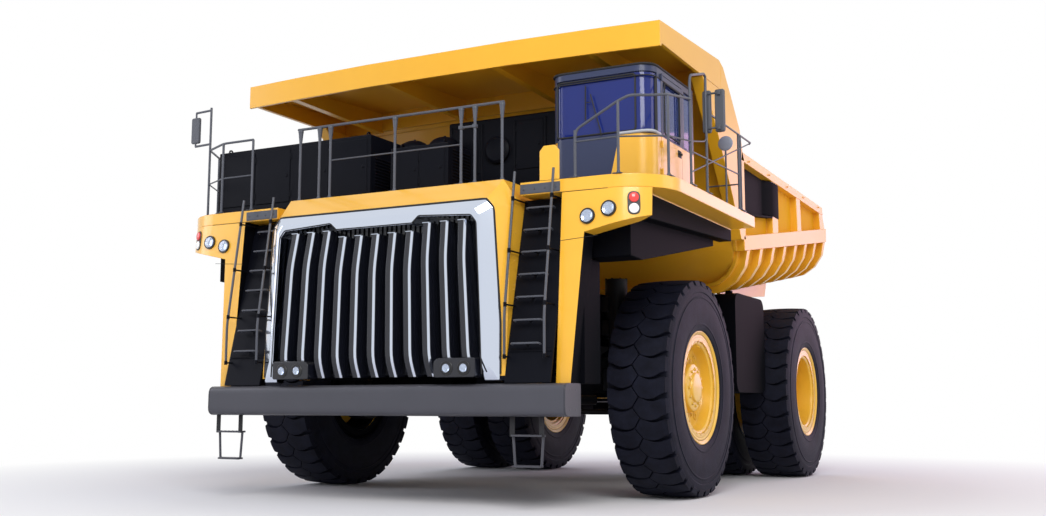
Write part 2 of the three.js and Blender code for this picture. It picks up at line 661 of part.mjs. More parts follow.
function rightRail() {
  const y = DECK_FRONT_Y + 50;
  const mast = [-3560, -4750];
  const x = 40 - DECK_OUTER_X;
  const foot = DECK_TOP_Z + GAP;
  const post = (px, py, top) => bar([px, py, foot], [px, py, top], 24, 5);
  return join(
    post(-2490, y, 5150), post(-3060, y, 5150), post(...mast, 5820), post(x, -4250, 5150), post(x, -2750, 5150),
    post(x, -1250, 5150),
    rail([[-2490, y, 5150], [-3060, y, 5150], [...mast, 5150], [x, -4250, 5150], [x, -1250, 5150]]),
    rail([[-2490, y, 4620], [-3060, y, 4620], [...mast, 4620], [x, -4250, 4620], [x, -1250, 4620]]),
    ...mirrorRight(...mast),
  );
}

place('handrail_hood', hoodRail(), RAIL_GREY);
place('handrail_left', leftRail(), RAIL_GREY);
place('handrail_right', rightRail(), RAIL_GREY);

// ---------------------------------------------------------------- tanks

// a tank with rounded edges, hung on the frame by a high and a low bracket that clear the hoist
function tank(side, rear, outerX) {
  const across = (a, b) => [Math.min(side * a, side * b), Math.max(side * a, side * b)];
  const outline = new THREE.Shape();
  const [y0, y1, r] = [0, rear, 180];
  const [z0, z1] = [1480, 3080];
  outline.moveTo(y0 + r, z0);
  outline.absarc(y1 - r, z0 + r, r, -Math.PI / 2, 0, false);
  outline.absarc(y1 - r, z1 - r, r, 0, Math.PI / 2, false);
  outline.absarc(y0 + r, z1 - r, r, Math.PI / 2, Math.PI, false);
  outline.absarc(y0 + r, z0 + r, r, Math.PI, 1.5 * Math.PI, false);
  const bracketX = across(RAIL_OUTER_X + GAP, 1600);
  return join(
    prismX(outline, across(1560, outerX), 4),
    block(bracketX, [40, 160], [2080, 2230]),
    block(bracketX, [580, 700], [1500, 1600]),
  );
}
place('fuel_tank', tank(1, 1650, 3200), BLACK);
place('hydraulic_tank', tank(-1, 1450, 3000), BLACK);

// ---------------------------------------------------------------- front suspension and steering

// The strut's housing is bolted to the frame's outrigger; the knuckle turns on its rod.
const STRUT_FOOT_Z = 2250;
function strut(side) {
  const x = side * KINGPIN_X;
  const housing = bar([x, FRONT_AXLE_Y, STRUT_FOOT_Z], [x, FRONT_AXLE_Y, 3130], 165, 16);
  const flange = (z) => block(side > 0 ? [1880 + GAP, 2000] : [-2000, -1880 - GAP],
    [FRONT_AXLE_Y - 180, FRONT_AXLE_Y + 180], [z, z + 220]);
  const bore = bar([x, FRONT_AXLE_Y, STRUT_FOOT_Z - 10], [x, FRONT_AXLE_Y, 2900], 126, 16);
  return join(housing, flange(2300), flange(2640)).subtract(bore);
}

function knuckle(side) {
  const x = side * KINGPIN_X;
  const axleZ = TYRE_RADIUS;
  const out = (d) => x + side * d;
  const rodTop = bar([x, FRONT_AXLE_Y, 1700], [x, FRONT_AXLE_Y, 2860], 120, 16);
  const boss = join(
    bar([x, FRONT_AXLE_Y, 1500], [x, FRONT_AXLE_Y, 1800], 210, 12),
    bar([x, FRONT_AXLE_Y, 1230], [x, FRONT_AXLE_Y, 1510], 135, 12),
  );
  const spindle = bar([x, FRONT_AXLE_Y, axleZ], [side * (FRONT_WHEEL_X + 130), FRONT_AXLE_Y, axleZ], 190, 16);
  const brake = bar([out(280), FRONT_AXLE_Y, axleZ], [side * (FRONT_WHEEL_X - 310), FRONT_AXLE_Y, axleZ], 470, 24);
  const pinTie = [x, FRONT_AXLE_Y + TIE_ROD_ARM_LENGTH];
  const pinRam = [x + side * STEER_CYLINDER_PIN[0], FRONT_AXLE_Y + STEER_CYLINDER_PIN[1]];
  const armLow = prismZ([
    [out(110), FRONT_AXLE_Y + 60], [pinTie[0] + side * 95, pinTie[1] + 80], [pinTie[0] - side * 95, pinTie[1] + 80],
    [out(-160), FRONT_AXLE_Y + 60],
  ], [1230, 1290]);
  const stub = bar([...pinTie, TIE_ROD_Z - 60], [...pinTie, 1270], 40, 10);
  const armHigh = prismZ([
    [out(60), FRONT_AXLE_Y + 80], [pinRam[0] + side * 80, pinRam[1] + 70],
    [pinRam[0] - side * 80, pinRam[1] + 70], [out(-150), FRONT_AXLE_Y + 80],
  ], [STEER_CYLINDER_Z + 70, STEER_CYLINDER_Z + 120]);
  return join(rodTop, boss, spindle, brake, armLow, stub, armHigh);
}

for (const [name, side] of SIDES) {
  place(`front_strut_${name}`, strut(side), STEEL);
  place(`knuckle_${name}`, knuckle(side), BLACK);
}

// a flat eye with a hole for an upright pin
function eye(x, y, z, radius, hole, half) {
  return bar([x, y, z - half], [x, y, z + half], radius, 14)
    .subtract(bar([x, y, z - half - 10], [x, y, z + half + 10], hole, 14));
}

function tieRod() {
  const x = KINGPIN_X;
  const y = FRONT_AXLE_Y + TIE_ROD_ARM_LENGTH;
  const hole = 44;
  return join(
    bar([-x + 75, y, TIE_ROD_Z], [x - 75, y, TIE_ROD_Z], 42, 10),
    eye(x, y, TIE_ROD_Z, 90, hole, 42), eye(-x, y, TIE_ROD_Z, 90, hole, 42),
  );
}
place('tie_rod', tieRod(), STEEL);

// Each steering cylinder lies level: the barrel is pinned to the frame, the rod to the knuckle.
function steeringCylinder(name, side) {
  const anchor = new THREE.Vector3(
    side * STEER_CYLINDER_ANCHOR[0], FRONT_AXLE_Y + STEER_CYLINDER_ANCHOR[1], STEER_CYLINDER_Z);
  const pin = new THREE.Vector3(side * (KINGPIN_X + STEER_CYLINDER_PIN[0]),
    FRONT_AXLE_Y + STEER_CYLINDER_PIN[1], STEER_CYLINDER_Z);
  const length = anchor.distanceTo(pin);
  const group = groupAt(...anchor.toArray());
  group.rotation.z = Math.atan2(pin.y - anchor.y, pin.x - anchor.x);
  const mouth = 960;
  const barrel = join(
    bar([60, 0, 0], [mouth, 0, 0], 72, 14),
    bar([0, 0, -70], [0, 0, 70], 75, 14),
  ).subtract(bar([300, 0, 0], [mouth + 10, 0, 0], 46, 14));
  const rod = join(
    bar([680, 0, 0], [length - 50, 0, 0], 36, 12),
    bar([length, 0, -45], [length, 0, 45], 70, 14),
  );
  place(`steer_barrel_${name}`, barrel, BLACK, group);
  place(`steer_rod_${name}`, rod, CHROME, group);
}
for (const [name, side] of SIDES) steeringCylinder(name, side);

// ---------------------------------------------------------------- wheels

// closed ring of rubber: bead, sidewall and tread, the same on both faces
function tyre() {
  const apothem = 1 / Math.cos(Math.PI / TYRE_SIDES);
  const half = TYRE_WIDTH / 2;
  const face = [
    [BEAD_RADIUS, 374], [RIM_RADIUS + 1, 374], [RIM_RADIUS + 1, 408], [1050, half], [TYRE_RADIUS * apothem, 390],
  ];
  const profile = [...face, ...face.map(([r, x]) => [r, -x]).reverse()];
  return turnedX([...profile, profile[0]]);
}

const FLANGE = [[RIM_RADIUS, 404], [RIM_RADIUS, 374 + GAP]];

// Rim with a recessed disc and a closed hub; it turns on the spindle. Its outer face is +X.
function frontRim() {
  const barrel = BEAD_RADIUS - GAP;
  return turnedX([
    [0, 340], [330, 260], [330, 130], [600, 130], [600, 404], ...FLANGE,
    [barrel, 374 + GAP], [barrel, -374 - GAP], ...FLANGE.map(([r, x]) => [r, -x]).reverse(),
    [600, -404], [600, 60], [330, 60], [330, -290], [200, -290], [200, 160], [0, 160],
  ]);
}

// Both rear rims on one hub, with the final drive's cover closing the outer end.
function rearRims() {
  const barrel = BEAD_RADIUS - GAP;
  const inner = REAR_INNER_X - REAR_OUTER_X;
  return turnedX([
    [0, 110], [400, 90], [420, -30], [600, -30], [600, 404], ...FLANGE,
    [barrel, 374 + GAP], [barrel, -374 - GAP], ...FLANGE.map(([r, x]) => [r, -x]).reverse(),
    [640, -404], [640, inner + 404], ...FLANGE.map(([r, x]) => [r, inner + x]),
    [barrel, inner + 374 + GAP], [barrel, inner - 374 - GAP],
    ...FLANGE.map(([r, x]) => [r, inner - x]).reverse(),
    [560, inner - 404], [560, -110], [0, -110],
  ]);
}

for (const [name, side] of SIDES) {
  const front = groupAt(side * FRONT_WHEEL_X, FRONT_AXLE_Y, TYRE_RADIUS);
  place(`front_tyre_${name}`, tyre(), RUBBER, front);
  place(`front_rim_${name}`, side > 0 ? frontRim() : mirrored(frontRim()), YELLOW, front);
  const outer = groupAt(side * REAR_OUTER_X, REAR_AXLE_Y, TYRE_RADIUS);
  const inner = groupAt(side * REAR_INNER_X, REAR_AXLE_Y, TYRE_RADIUS);
  place(`rear_outer_tyre_${name}`, tyre(), RUBBER, outer);
  place(`rear_inner_tyre_${name}`, tyre(), RUBBER, inner);
  place(`rear_rims_${name}`, side > 0 ? rearRims() : mirrored(rearRims()), YELLOW, outer);
}

// ---------------------------------------------------------------- rear axle

// Banjo housing with its spindles, the drawbar to the frame and the two rear struts.
function rearAxle() {
  const z = TYRE_RADIUS;
  const centre = new THREE.SphereGeometry(560, 12, 8);
  centre.translate(0, REAR_AXLE_Y, z);
  const pieces = [
    solid(centre),
    bar([-1520, REAR_AXLE_Y, z], [1520, REAR_AXLE_Y, z], 400, 16),
    bar([-2980, REAR_AXLE_Y, z], [2980, REAR_AXLE_Y, z], 330, 16),
    prismZ([[-420, REAR_AXLE_Y - 300], [-120, 1560], [120, 1560], [420, REAR_AXLE_Y - 300]], [1420, 1640]),
    bar([0, 1500, 1350], [0, 1500, 1710], 150, 12),
  ];
  for (const side of [1, -1]) {
    const x = side * 1130;
    pieces.push(bar([x, 3950, 1640], [x, 3950, 2500 - GAP], 110, 12));
    pieces.push(bar([x, 3950, 2000], [x, 3950, 2350], 150, 12));
    pieces.push(block([x - 160, x + 160], [REAR_AXLE_Y + 200, 4080], [1560, 1700]));
  }
  return join(pieces);
}
place('rear_axle', rearAxle(), BLACK);

// ---------------------------------------------------------------- dump bed

// height of the bed's lower rail, measured at its bottom edge
const railZ = (y) => 3690 + (y - BODY_FRONT_Y) * BODY_SLOPE;

// height of the flat underside of the bed's floor plate
const bedUnderside = (y) => railZ(y) - BODY_CORNER;

// U-shaped outline across the bed at y = 0, grown outwards by an offset
function floorOutline(offset, halfWidth, z) {
  const r = BODY_CORNER + offset;
  const x = halfWidth + offset;
  const bottom = z - BODY_CORNER - offset;
  const shape = [];
  const steps = 4;
  for (let i = 0; i <= steps; i += 1) {
    const a = (i / steps) * Math.PI / 2;
    shape.push([x - r + r * Math.cos(a), bottom + r - r * Math.sin(a)]);
  }
  return { right: shape, left: shape.map(([px, pz]) => [-px, pz]).reverse() };
}

// runs an (x, z) outline along Y and raises it with the slope of the bed
function sloped(outline, [low, high]) {
  const geometry = extruded(outline, high - low, 6);
  geometry.rotateX(Math.PI / 2);
  geometry.translate(0, high, 0);
  const shear = new THREE.Matrix4().set(1, 0, 0, 0, 0, 1, 0, 0, 0, BODY_SLOPE, 1, 0, 0, 0, 0, 1);
  geometry.applyMatrix4(shear);
  return solid(geometry);
}

const plateHalf = BODY_HALF_WIDTH - BODY_RIB;
const zAtOrigin = railZ(0);

function trough(offsetOut, offsetIn, range) {
  const outer = floorOutline(offsetOut, plateHalf, zAtOrigin);
  const inner = floorOutline(-offsetIn, plateHalf, zAtOrigin);
  const outline = [...outer.right, ...outer.left, ...[...inner.right, ...inner.left].reverse()];
  return sloped(outline, range);
}

const BED_RIB_YS = [0, 1, 2, 3, 4, 5, 6, 7].map((i) => -120 + i * 765);

function bedFloor() {
  const front = BODY_FRONT_Y + 60;
  const pieces = [trough(0, BODY_WALL, [front, BODY_TAIL_Y])];
  for (const y of BED_RIB_YS) pieces.push(trough(BODY_RIB, 20, [y - 80, y + 80]));
  for (const side of [1, -1]) {
    const across = (a, b) => [Math.min(side * a, side * b), Math.max(side * a, side * b)];
    // bolster that rests on the frame and carries the pivot
    const bolster = [
      [-100, bedUnderside(-100) + 30], [4930, bedUnderside(4930) + 30],
      [4700, 3000], [4560, 2700], [4480, 2666], [1500, 2666], [800, 2800],
    ];
    const beam = prismX(bolster, across(600, 780));
    const pivotSlot = block(across(540, 840), [4050, 4600], [2600, 2930]);
    const pivotBoss = bar([side * 870, ...BED_PIVOT], [side * 1060, ...BED_PIVOT], 150, 14);
    const hanger = prismX([[4000, bedUnderside(4000) + 30], [4600, bedUnderside(4600) + 30],
      [4400, 2650], [4200, 2650]], across(880, 1020));
    pieces.push(beam.subtract(pivotSlot), pivotBoss, hanger);
    pieces.push(bar([side * 500, ...BED_PIVOT], [side * 1000, ...BED_PIVOT], 90, 16));
    // rock guard above the rear tyres
    pieces.push(prismX([[1700, 3160], [4500, 3420], [4750, bedUnderside(4750) + 30],
      [1400, bedUnderside(1400) + 30]], across(2380, 2440)));
    // lugs for the hoist's eye
    const [eyeY, eyeZ] = HOIST_EYE;
    for (const x of [HOIST_X - 180, HOIST_X + 120]) {
      pieces.push(prismX([[eyeY - 260, eyeZ + 420], [eyeY + 260, eyeZ + 420], [eyeY + 120, eyeZ - 130],
        [eyeY - 120, eyeZ - 130]], across(x, x + 60)));
    }
  }
  return join(pieces);
}

// a side wall in (y, z): rises at the front to meet the canopy
const SIDE_OUTLINE = [
  [BODY_FRONT_Y, railZ(BODY_FRONT_Y) + GAP], [BODY_TAIL_Y, railZ(BODY_TAIL_Y) + GAP],
  [5160, 5230], [-360, 5280], [-600, 5580], [-1070, 6270], [-1380, 6270], [-1380, 6000],
];

// the deep cheek at the front of a side wall, between the canopy and the lower rail
const CHEEK_OUTLINE = [
  [-490, 3850], [-250, 3870], [-250, 5180], [-300, 5260], [-440, 5610], [-880, 6070], [-1240, 6420],
  [-1384, 6466], [-1384, 6028], [-2240, 6028], [-1560, 5290], [-880, 4440],
];

function bedSide(side) {
  const across = (a, b) => [Math.min(side * a, side * b), Math.max(side * a, side * b)];
  const plate = prismX(SIDE_OUTLINE, across(plateHalf - BODY_WALL, plateHalf))
    .add(prismX(CHEEK_OUTLINE, across(plateHalf - BODY_WALL, BODY_HALF_WIDTH)));
  const topRail = prismX([[-400, 5130], [-360, 5280], [5160, 5230], [5215, 5080]],
    across(plateHalf - BODY_WALL, BODY_HALF_WIDTH));
  const low = (y, up) => railZ(y) + up;
  const lowerRail = prismX([
    [BODY_FRONT_Y, low(BODY_FRONT_Y, GAP)], [BODY_TAIL_Y, low(BODY_TAIL_Y, GAP)],
    [BODY_TAIL_Y + 30, low(BODY_TAIL_Y, 280)], [BODY_FRONT_Y - 20, low(BODY_FRONT_Y, 240)],
  ], across(plateHalf - 20, BODY_HALF_WIDTH));
  const pieces = [plate, topRail, lowerRail];
  for (const y of BED_RIB_YS) {
    pieces.push(prismX([[y - 70, low(y, 200)], [y + 70, low(y, 200)], [y + 70, 5180], [y - 70, 5180]],
      across(plateHalf - 20, BODY_HALF_WIDTH - 20)));
  }
  return join(pieces);
}

const CANOPY_REAR_Y = -1450;
const CANOPY_REAR_Z = 6480;

// Front wall leaning over the cab, and the roof plate that covers it, with its ribs.
function bedCanopy() {
  const half = plateHalf - BODY_WALL - GAP;
  const clearOfFloor = trough(GAP, BODY_WALL + GAP, [-400, 400]);
  const wall = prismX([[-1390, 6060], [-1300, 6060], [-20, 3200], [-110, 3200]], [-half, half])
    .subtract(clearOfFloor).decompose().sort((a, b) => b.volume() - a.volume())[0];
  const roof = prismX([
    [CANOPY_FRONT_Y, 5980], [CANOPY_FRONT_Y, 6330], [CANOPY_REAR_Y, CANOPY_REAR_Z], [-1080, 6290],
    [-1270, 5980], [-1400, 5980], [-1430, 6030], [-3900, 6030], [-3940, 5980],
  ], [-half, half]);
  const wings = prismX([
    [CANOPY_FRONT_Y, 5980], [CANOPY_FRONT_Y, 6330], [CANOPY_REAR_Y, CANOPY_REAR_Z], [-1390, 6466],
    [-1390, 6030], [-3900, 6030], [-3940, 5980],
  ], [-BODY_HALF_WIDTH, BODY_HALF_WIDTH]);
  const hollow = prismX([
    [CANOPY_FRONT_Y + 60, 5900], [CANOPY_FRONT_Y + 60, 6200], [-1500, 6340], [-1500, 5900],
  ], [-BODY_HALF_WIDTH + 60, BODY_HALF_WIDTH - 60]);
  const ribs = [-2700, -1000, 900, 2400].map((x) => prismX(
    [[CANOPY_FRONT_Y + 40, 6030], [CANOPY_FRONT_Y + 40, 6250], [-1450, 6390], [-1450, 6000]],
    [x - 60, x + 60]));
  return join(arched(join(join(roof, wings).subtract(hollow), ribs)), wall);
}

// the canopy's slight arch across the truck, made in straight lengths
function arched(piece) {
  const stations = [-3500, -2500, -1200, 1200, 2500, 3500];
  const rise = (x) => 60 * (1 - (x / 3500) ** 2);
  const slices = stations.slice(1).map((high, i) => {
    const low = stations[i];
    const slice = piece.intersect(block([low, high], [-5000, 0], [5000, 7000]));
    const slope = (rise(high) - rise(low)) / (high - low);
    return slice.warp((v) => { v[2] += rise(low) + slope * (v[0] - low); });
  });
  return join(slices);
}

place('bed_floor', bedFloor(), YELLOW);
place('bed_side_left', bedSide(1), YELLOW);
place('bed_side_right', bedSide(-1), YELLOW);
place('bed_canopy', bedCanopy(), YELLOW);

// Each hoist is a barrel pinned to the frame and a rod whose eye lies between the bed's lugs.
function hoist(name, side) {
  const [footY, footZ] = HOIST_FOOT;
  const [eyeY, eyeZ] = HOIST_EYE;
  const length = Math.hypot(eyeY - footY, eyeZ - footZ);
  const group = groupAt(side * HOIST_X, footY, footZ);
  group.rotation.x = Math.atan2(eyeZ - footZ, eyeY - footY);
  const mouth = length - 330;
  const barrel = join(
    bar([0, 185, 0], [0, mouth, 0], 128, 14),
    bar([0, 0, 0], [0, 200, 0], 90, 10),
    bar([-100, 0, 0], [100, 0, 0], 110, 12),
  ).subtract(bar([0, 250, 0], [0, mouth + 10, 0], 86, 14));
  const rod = join(
    bar([0, 280, 0], [0, length - 70, 0], 78, 14),
    bar([-105, length, 0], [105, length, 0], 105, 14),
  );
  place(`hoist_barrel_${name}`, barrel, BLACK, group);
  place(`hoist_rod_${name}`, rod, CHROME, group);
}
for (const [name, side] of SIDES) hoist(name, side);

export default truck;
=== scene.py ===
# A rigid-frame mining dump truck: the finish and the fine shape of every piece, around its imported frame.
# Metres, +Z is up, the truck faces -Y and its left side, with the cab, is +X.
import math

import bmesh
import bpy
from mathutils import Matrix, Vector


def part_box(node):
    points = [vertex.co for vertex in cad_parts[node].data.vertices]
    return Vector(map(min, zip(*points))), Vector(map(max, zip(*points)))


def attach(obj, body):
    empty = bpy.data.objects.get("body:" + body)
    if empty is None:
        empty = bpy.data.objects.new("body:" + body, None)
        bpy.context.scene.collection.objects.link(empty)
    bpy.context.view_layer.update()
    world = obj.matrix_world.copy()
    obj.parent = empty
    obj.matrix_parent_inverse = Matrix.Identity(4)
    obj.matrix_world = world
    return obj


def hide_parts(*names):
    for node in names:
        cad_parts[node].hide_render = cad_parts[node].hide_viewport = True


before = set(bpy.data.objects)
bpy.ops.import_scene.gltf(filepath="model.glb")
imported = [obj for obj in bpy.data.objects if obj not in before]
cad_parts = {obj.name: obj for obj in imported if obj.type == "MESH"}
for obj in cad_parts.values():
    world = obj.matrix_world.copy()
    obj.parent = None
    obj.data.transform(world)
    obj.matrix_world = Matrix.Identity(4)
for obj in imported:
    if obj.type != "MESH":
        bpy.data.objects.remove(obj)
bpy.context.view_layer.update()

SIDES = (("left", 1), ("right", -1))

# ---- main frame ------------------------------------------------------------------------------
# Two welded box rails tied by cross tubes, with the outriggers that carry the front struts, the
# bed's pivot ears and the posts under the decks. Thick plate, sprayed with satin black enamel.


def colour(code):
    """an sRGB hex value as linear red, green, blue and alpha"""
    channels = [int(code[i:i + 2], 16) / 255 for i in (1, 3, 5)]
    return (*(c / 12.92 if c <= 0.04045 else ((c + 0.055) / 1.055) ** 2.4 for c in channels), 1)


def add_node(material, kind, inputs, **settings):
    """adds a shader node; an input's value is a number, a colour or another node's output"""
    made = material.node_tree.nodes.new("ShaderNode" + kind)
    for name, value in settings.items():
        setattr(made, name, value)
    for name, value in inputs.items():
        if isinstance(value, bpy.types.NodeSocket):
            material.node_tree.links.new(value, made.inputs[name])
        else:
            made.inputs[name].default_value = value
    return made


def new_material(name, slot, base=None, **shader):
    """a material with one Principled shader, for a slot of the record"""
    made = bpy.data.materials.new(name)
    made.use_nodes = True
    made["slot"] = slot
    if base:
        shader["base_color"] = colour(base)
    for socket, value in shader.items():
        named = {"ior": "IOR", "specular": "Specular IOR Level"}
        socket = named.get(socket, socket.replace("_", " ").title())
        made.node_tree.nodes["Principled BSDF"].inputs[socket].default_value = value
    return made


def dress(material, tone, skin):
    """gives a material's shader its colour pattern and its fine relief"""
    shader = material.node_tree.nodes["Principled BSDF"]
    material.node_tree.links.new(tone.outputs[2], shader.inputs["Base Color"])
    material.node_tree.links.new(skin.outputs[0], shader.inputs["Normal"])
    return material


def enamel(name, slot, base, shade, dust="#8d8478", dust_share=0.1, coat=0.35, **shader):
    """Two-pack enamel sprayed on steel: even colour, a faint orange peel, broken edges that catch
    the light, and a thin film of dust where a surface faces up."""
    made = new_material(name, slot, coat_weight=coat, coat_roughness=0.12, **shader)
    place = add_node(made, "TexCoord", {}).outputs["Object"]
    cloud = add_node(made, "TexNoise", {"Vector": place, "Scale": 1.4, "Detail": 6.0, "Roughness": 0.6})
    tone = add_node(made, "Mix", {0: cloud.outputs["Fac"], 6: colour(shade), 7: colour(base)},
        data_type="RGBA")
    facing = add_node(made, "SeparateXYZ", {0: add_node(made, "NewGeometry", {}).outputs["Normal"]})
    speckle = add_node(made, "TexNoise", {"Vector": place, "Scale": 9.0, "Detail": 8.0, "Roughness": 0.7})
    film = add_node(made, "MapRange", {0: facing.outputs["Z"], 1: 0.3, 2: 1.0, 3: 0.0, 4: dust_share})
    share = add_node(made, "Math", {0: film.outputs[0], 1: speckle.outputs["Fac"]}, operation="MULTIPLY")
    dusty = add_node(made, "Mix", {0: share.outputs[0], 6: tone.outputs[2], 7: colour(dust)},
        data_type="RGBA")
    peel = add_node(made, "TexNoise", {"Vector": place, "Scale": 70.0, "Detail": 2.0})
    edge = add_node(made, "Bevel", {"Radius": 0.014}, samples=4)
    skin = add_node(made, "Bump", {"Height": peel.outputs["Fac"], "Normal": edge.outputs[0],
        "Strength": 0.05, "Distance": 0.002})
    return dress(made, dusty, skin)


black_enamel = enamel("satin_black_enamel", "black_paint", "#0e1018", "#090a11", "#33323a", coat=0.0,
    roughness=0.46, specular=0.07)
underbody_black = enamel("underbody_enamel", "black_paint", "#0a0b11", "#07080c", "#2a2a2e", coat=0.0,
    roughness=0.6, specular=0.03)


def close_piece(name, bm, finish, replaces=None, body="chassis", smooth=32, outward=True):
    """turns a bmesh into a piece that rides on a body, with its finishes in order"""
    finishes = finish if isinstance(finish, tuple) else (finish,)
    bmesh.ops.remove_doubles(bm, verts=bm.verts, dist=2e-5)
    if outward:
        bmesh.ops.recalc_face_normals(bm, faces=bm.faces)
    mesh = bpy.data.meshes.new(name)
    bm.to_mesh(mesh)
    bm.free()
    mesh.shade_smooth()
    mesh.set_sharp_from_angle(angle=math.radians(smooth))
    piece = bpy.data.objects.new(name, mesh)
    bpy.context.scene.collection.objects.link(piece)
    for material in finishes:
        mesh.materials.append(material)
    flat = piece.modifiers.new("flat_faces", "WEIGHTED_NORMAL")
    flat.weight, flat.keep_sharp = 90, True
    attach(piece, body)
    if replaces:
        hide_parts(replaces)
    return piece


def frame_copy(node, bevel=0.0):
    """a bmesh copy of a frame node: its loose triangles merged, its flat faces whole, its edges broken"""
    bm = bmesh.new()
    bm.from_mesh(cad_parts[node].data)
    bmesh.ops.remove_doubles(bm, verts=bm.verts, dist=1e-4)
    bmesh.ops.dissolve_limit(bm, angle_limit=math.radians(0.5), verts=bm.verts, edges=bm.edges)
    if bevel:
        sharp = [e for e in bm.edges if len(e.link_faces) == 2 and e.calc_face_angle() > math.radians(24)]
        bmesh.ops.bevel(bm, geom=sharp, offset=bevel, segments=2, profile=0.5, affect="EDGES", material=-1,
            clamp_overlap=True)
    return bm


def refinish(name, node, finish, bevel=0.0, body="chassis", smooth=32):
    """carries a frame node over in its own shape, with broken edges and a real finish"""
    close_piece(name, frame_copy(node, bevel), finish, node, body, smooth, outward=False)


def add_block(bm, low, high, bevel=0.01):
    """a box between two corners, its edges rounded"""
    low, high = Vector(map(min, low, high)), Vector(map(max, low, high))
    shape = Matrix.Translation((low + high) / 2) @ Matrix.Diagonal((*(high - low), 1))
    verts = bmesh.ops.create_cube(bm, size=1, matrix=shape)["verts"]
    edges = list({edge for vert in verts for edge in vert.link_edges})
    bmesh.ops.bevel(bm, geom=edges, offset=min(bevel, min(high - low) * 0.45), segments=2, profile=0.5,
        affect="EDGES", material=-1, clamp_overlap=True)


def add_bar(bm, start, end, radius, end_radius=None, segments=24):
    """a round bar or cone between two points"""
    start, end = Vector(start), Vector(end)
    turn = (end - start).to_track_quat("Z", "Y").to_matrix().to_4x4()
    bmesh.ops.create_cone(bm, cap_ends=True, segments=segments, radius1=radius,
        radius2=radius if end_radius is None else end_radius, depth=(end - start).length,
        matrix=Matrix.Translation((start + end) / 2) @ turn)


def add_bolts(bm, points, axis, size=0.018):
    """a hexagon head on a washer at each point, standing up along an axis"""
    axis = Vector(axis)
    for point in points:
        add_bar(bm, Vector(point) - axis * 0.004, Vector(point) + axis * 0.006, size * 1.35, segments=12)
        add_bar(bm, point, Vector(point) + axis * size, size, size * 0.92, segments=6)


main_frame = frame_copy("main_frame")
outrigger_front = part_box("front_strut_left")[0].y - 0.075
for _, side in SIDES:
    heads = [(side * (1.0 + 0.14 * i), outrigger_front, 2.12 + 0.1 * i) for i in range(5)]
    add_bolts(main_frame, heads, (0, -1, 0), 0.022)
close_piece("frame_rails", main_frame, underbody_black, "main_frame", outward=False)

# ---- tyres -----------------------------------------------------------------------------------
# Six radial rock tyres, 3.06 m across: moulded black rubber, with two rows of deep lugs that meet
# in a zig-zag along the crown, and a bare sidewall with its moulded rings.

TYRE_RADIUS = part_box("front_tyre_left")[1].z / 2
LUGS = 34                      # in each row
LUG_DEPTH = 0.082
ZIGZAG = 0.045                 # half its width
GROOVE = 0.009                 # half its width
TREAD_EDGE = 0.392


def rubber(name, base, shade, painted_sheen_tint):
    """matt vulcanised rubber with a grey bloom and mould texture; navy tint and blue sheen: painted
    reflection
    """
    made = new_material(name, "tyre_rubber", roughness=0.6, sheen_weight=0.06, sheen_roughness=0.5,
        specular=0.1)
    made.node_tree.nodes["Principled BSDF"].inputs["Sheen Tint"].default_value = colour(painted_sheen_tint)
    place = add_node(made, "TexCoord", {}).outputs["Object"]
    bloom = add_node(made, "TexNoise", {"Vector": place, "Scale": 5.0, "Detail": 9.0, "Roughness": 0.7})
    steps = add_node(made, "MapRange", {0: bloom.outputs["Fac"], 1: 0.35, 2: 0.7})
    tone = add_node(made, "Mix", {0: steps.outputs[0], 6: colour(shade), 7: colour(base)}, data_type="RGBA")
    grain = add_node(made, "TexNoise", {"Vector": place, "Scale": 160.0, "Detail": 4.0})
    edge = add_node(made, "Bevel", {"Radius": 0.01}, samples=4)
    skin = add_node(made, "Bump", {"Height": grain.outputs["Fac"], "Normal": edge.outputs[0],
        "Strength": 0.25, "Distance": 0.004})
    return dress(made, tone, skin)


# black rubber tinted navy, with a blue sheen tint: painted reflection of the cool fill light
tyre_rubber = rubber("vulcanised_rubber", "#1c1e2b", "#11121b", "#50588a")


def add_turned(bm, profile, centre, axis=(1, 0, 0), steps=72, closed=False):
    """a profile of (radius, distance along) points turned a full circle about an axis"""
    place = Matrix.Translation(centre) @ Vector(axis).to_track_quat("Z", "Y").to_matrix().to_4x4()
    verts = [bm.verts.new(place @ Vector((radius, 0, along))) for radius, along in profile]
    edges = [bm.edges.new(pair) for pair in zip(verts, verts[1:] + (verts[:1] if closed else []))]
    bmesh.ops.spin(bm, geom=verts + edges, cent=centre, axis=axis, angle=math.tau, steps=steps,
        use_merge=True)


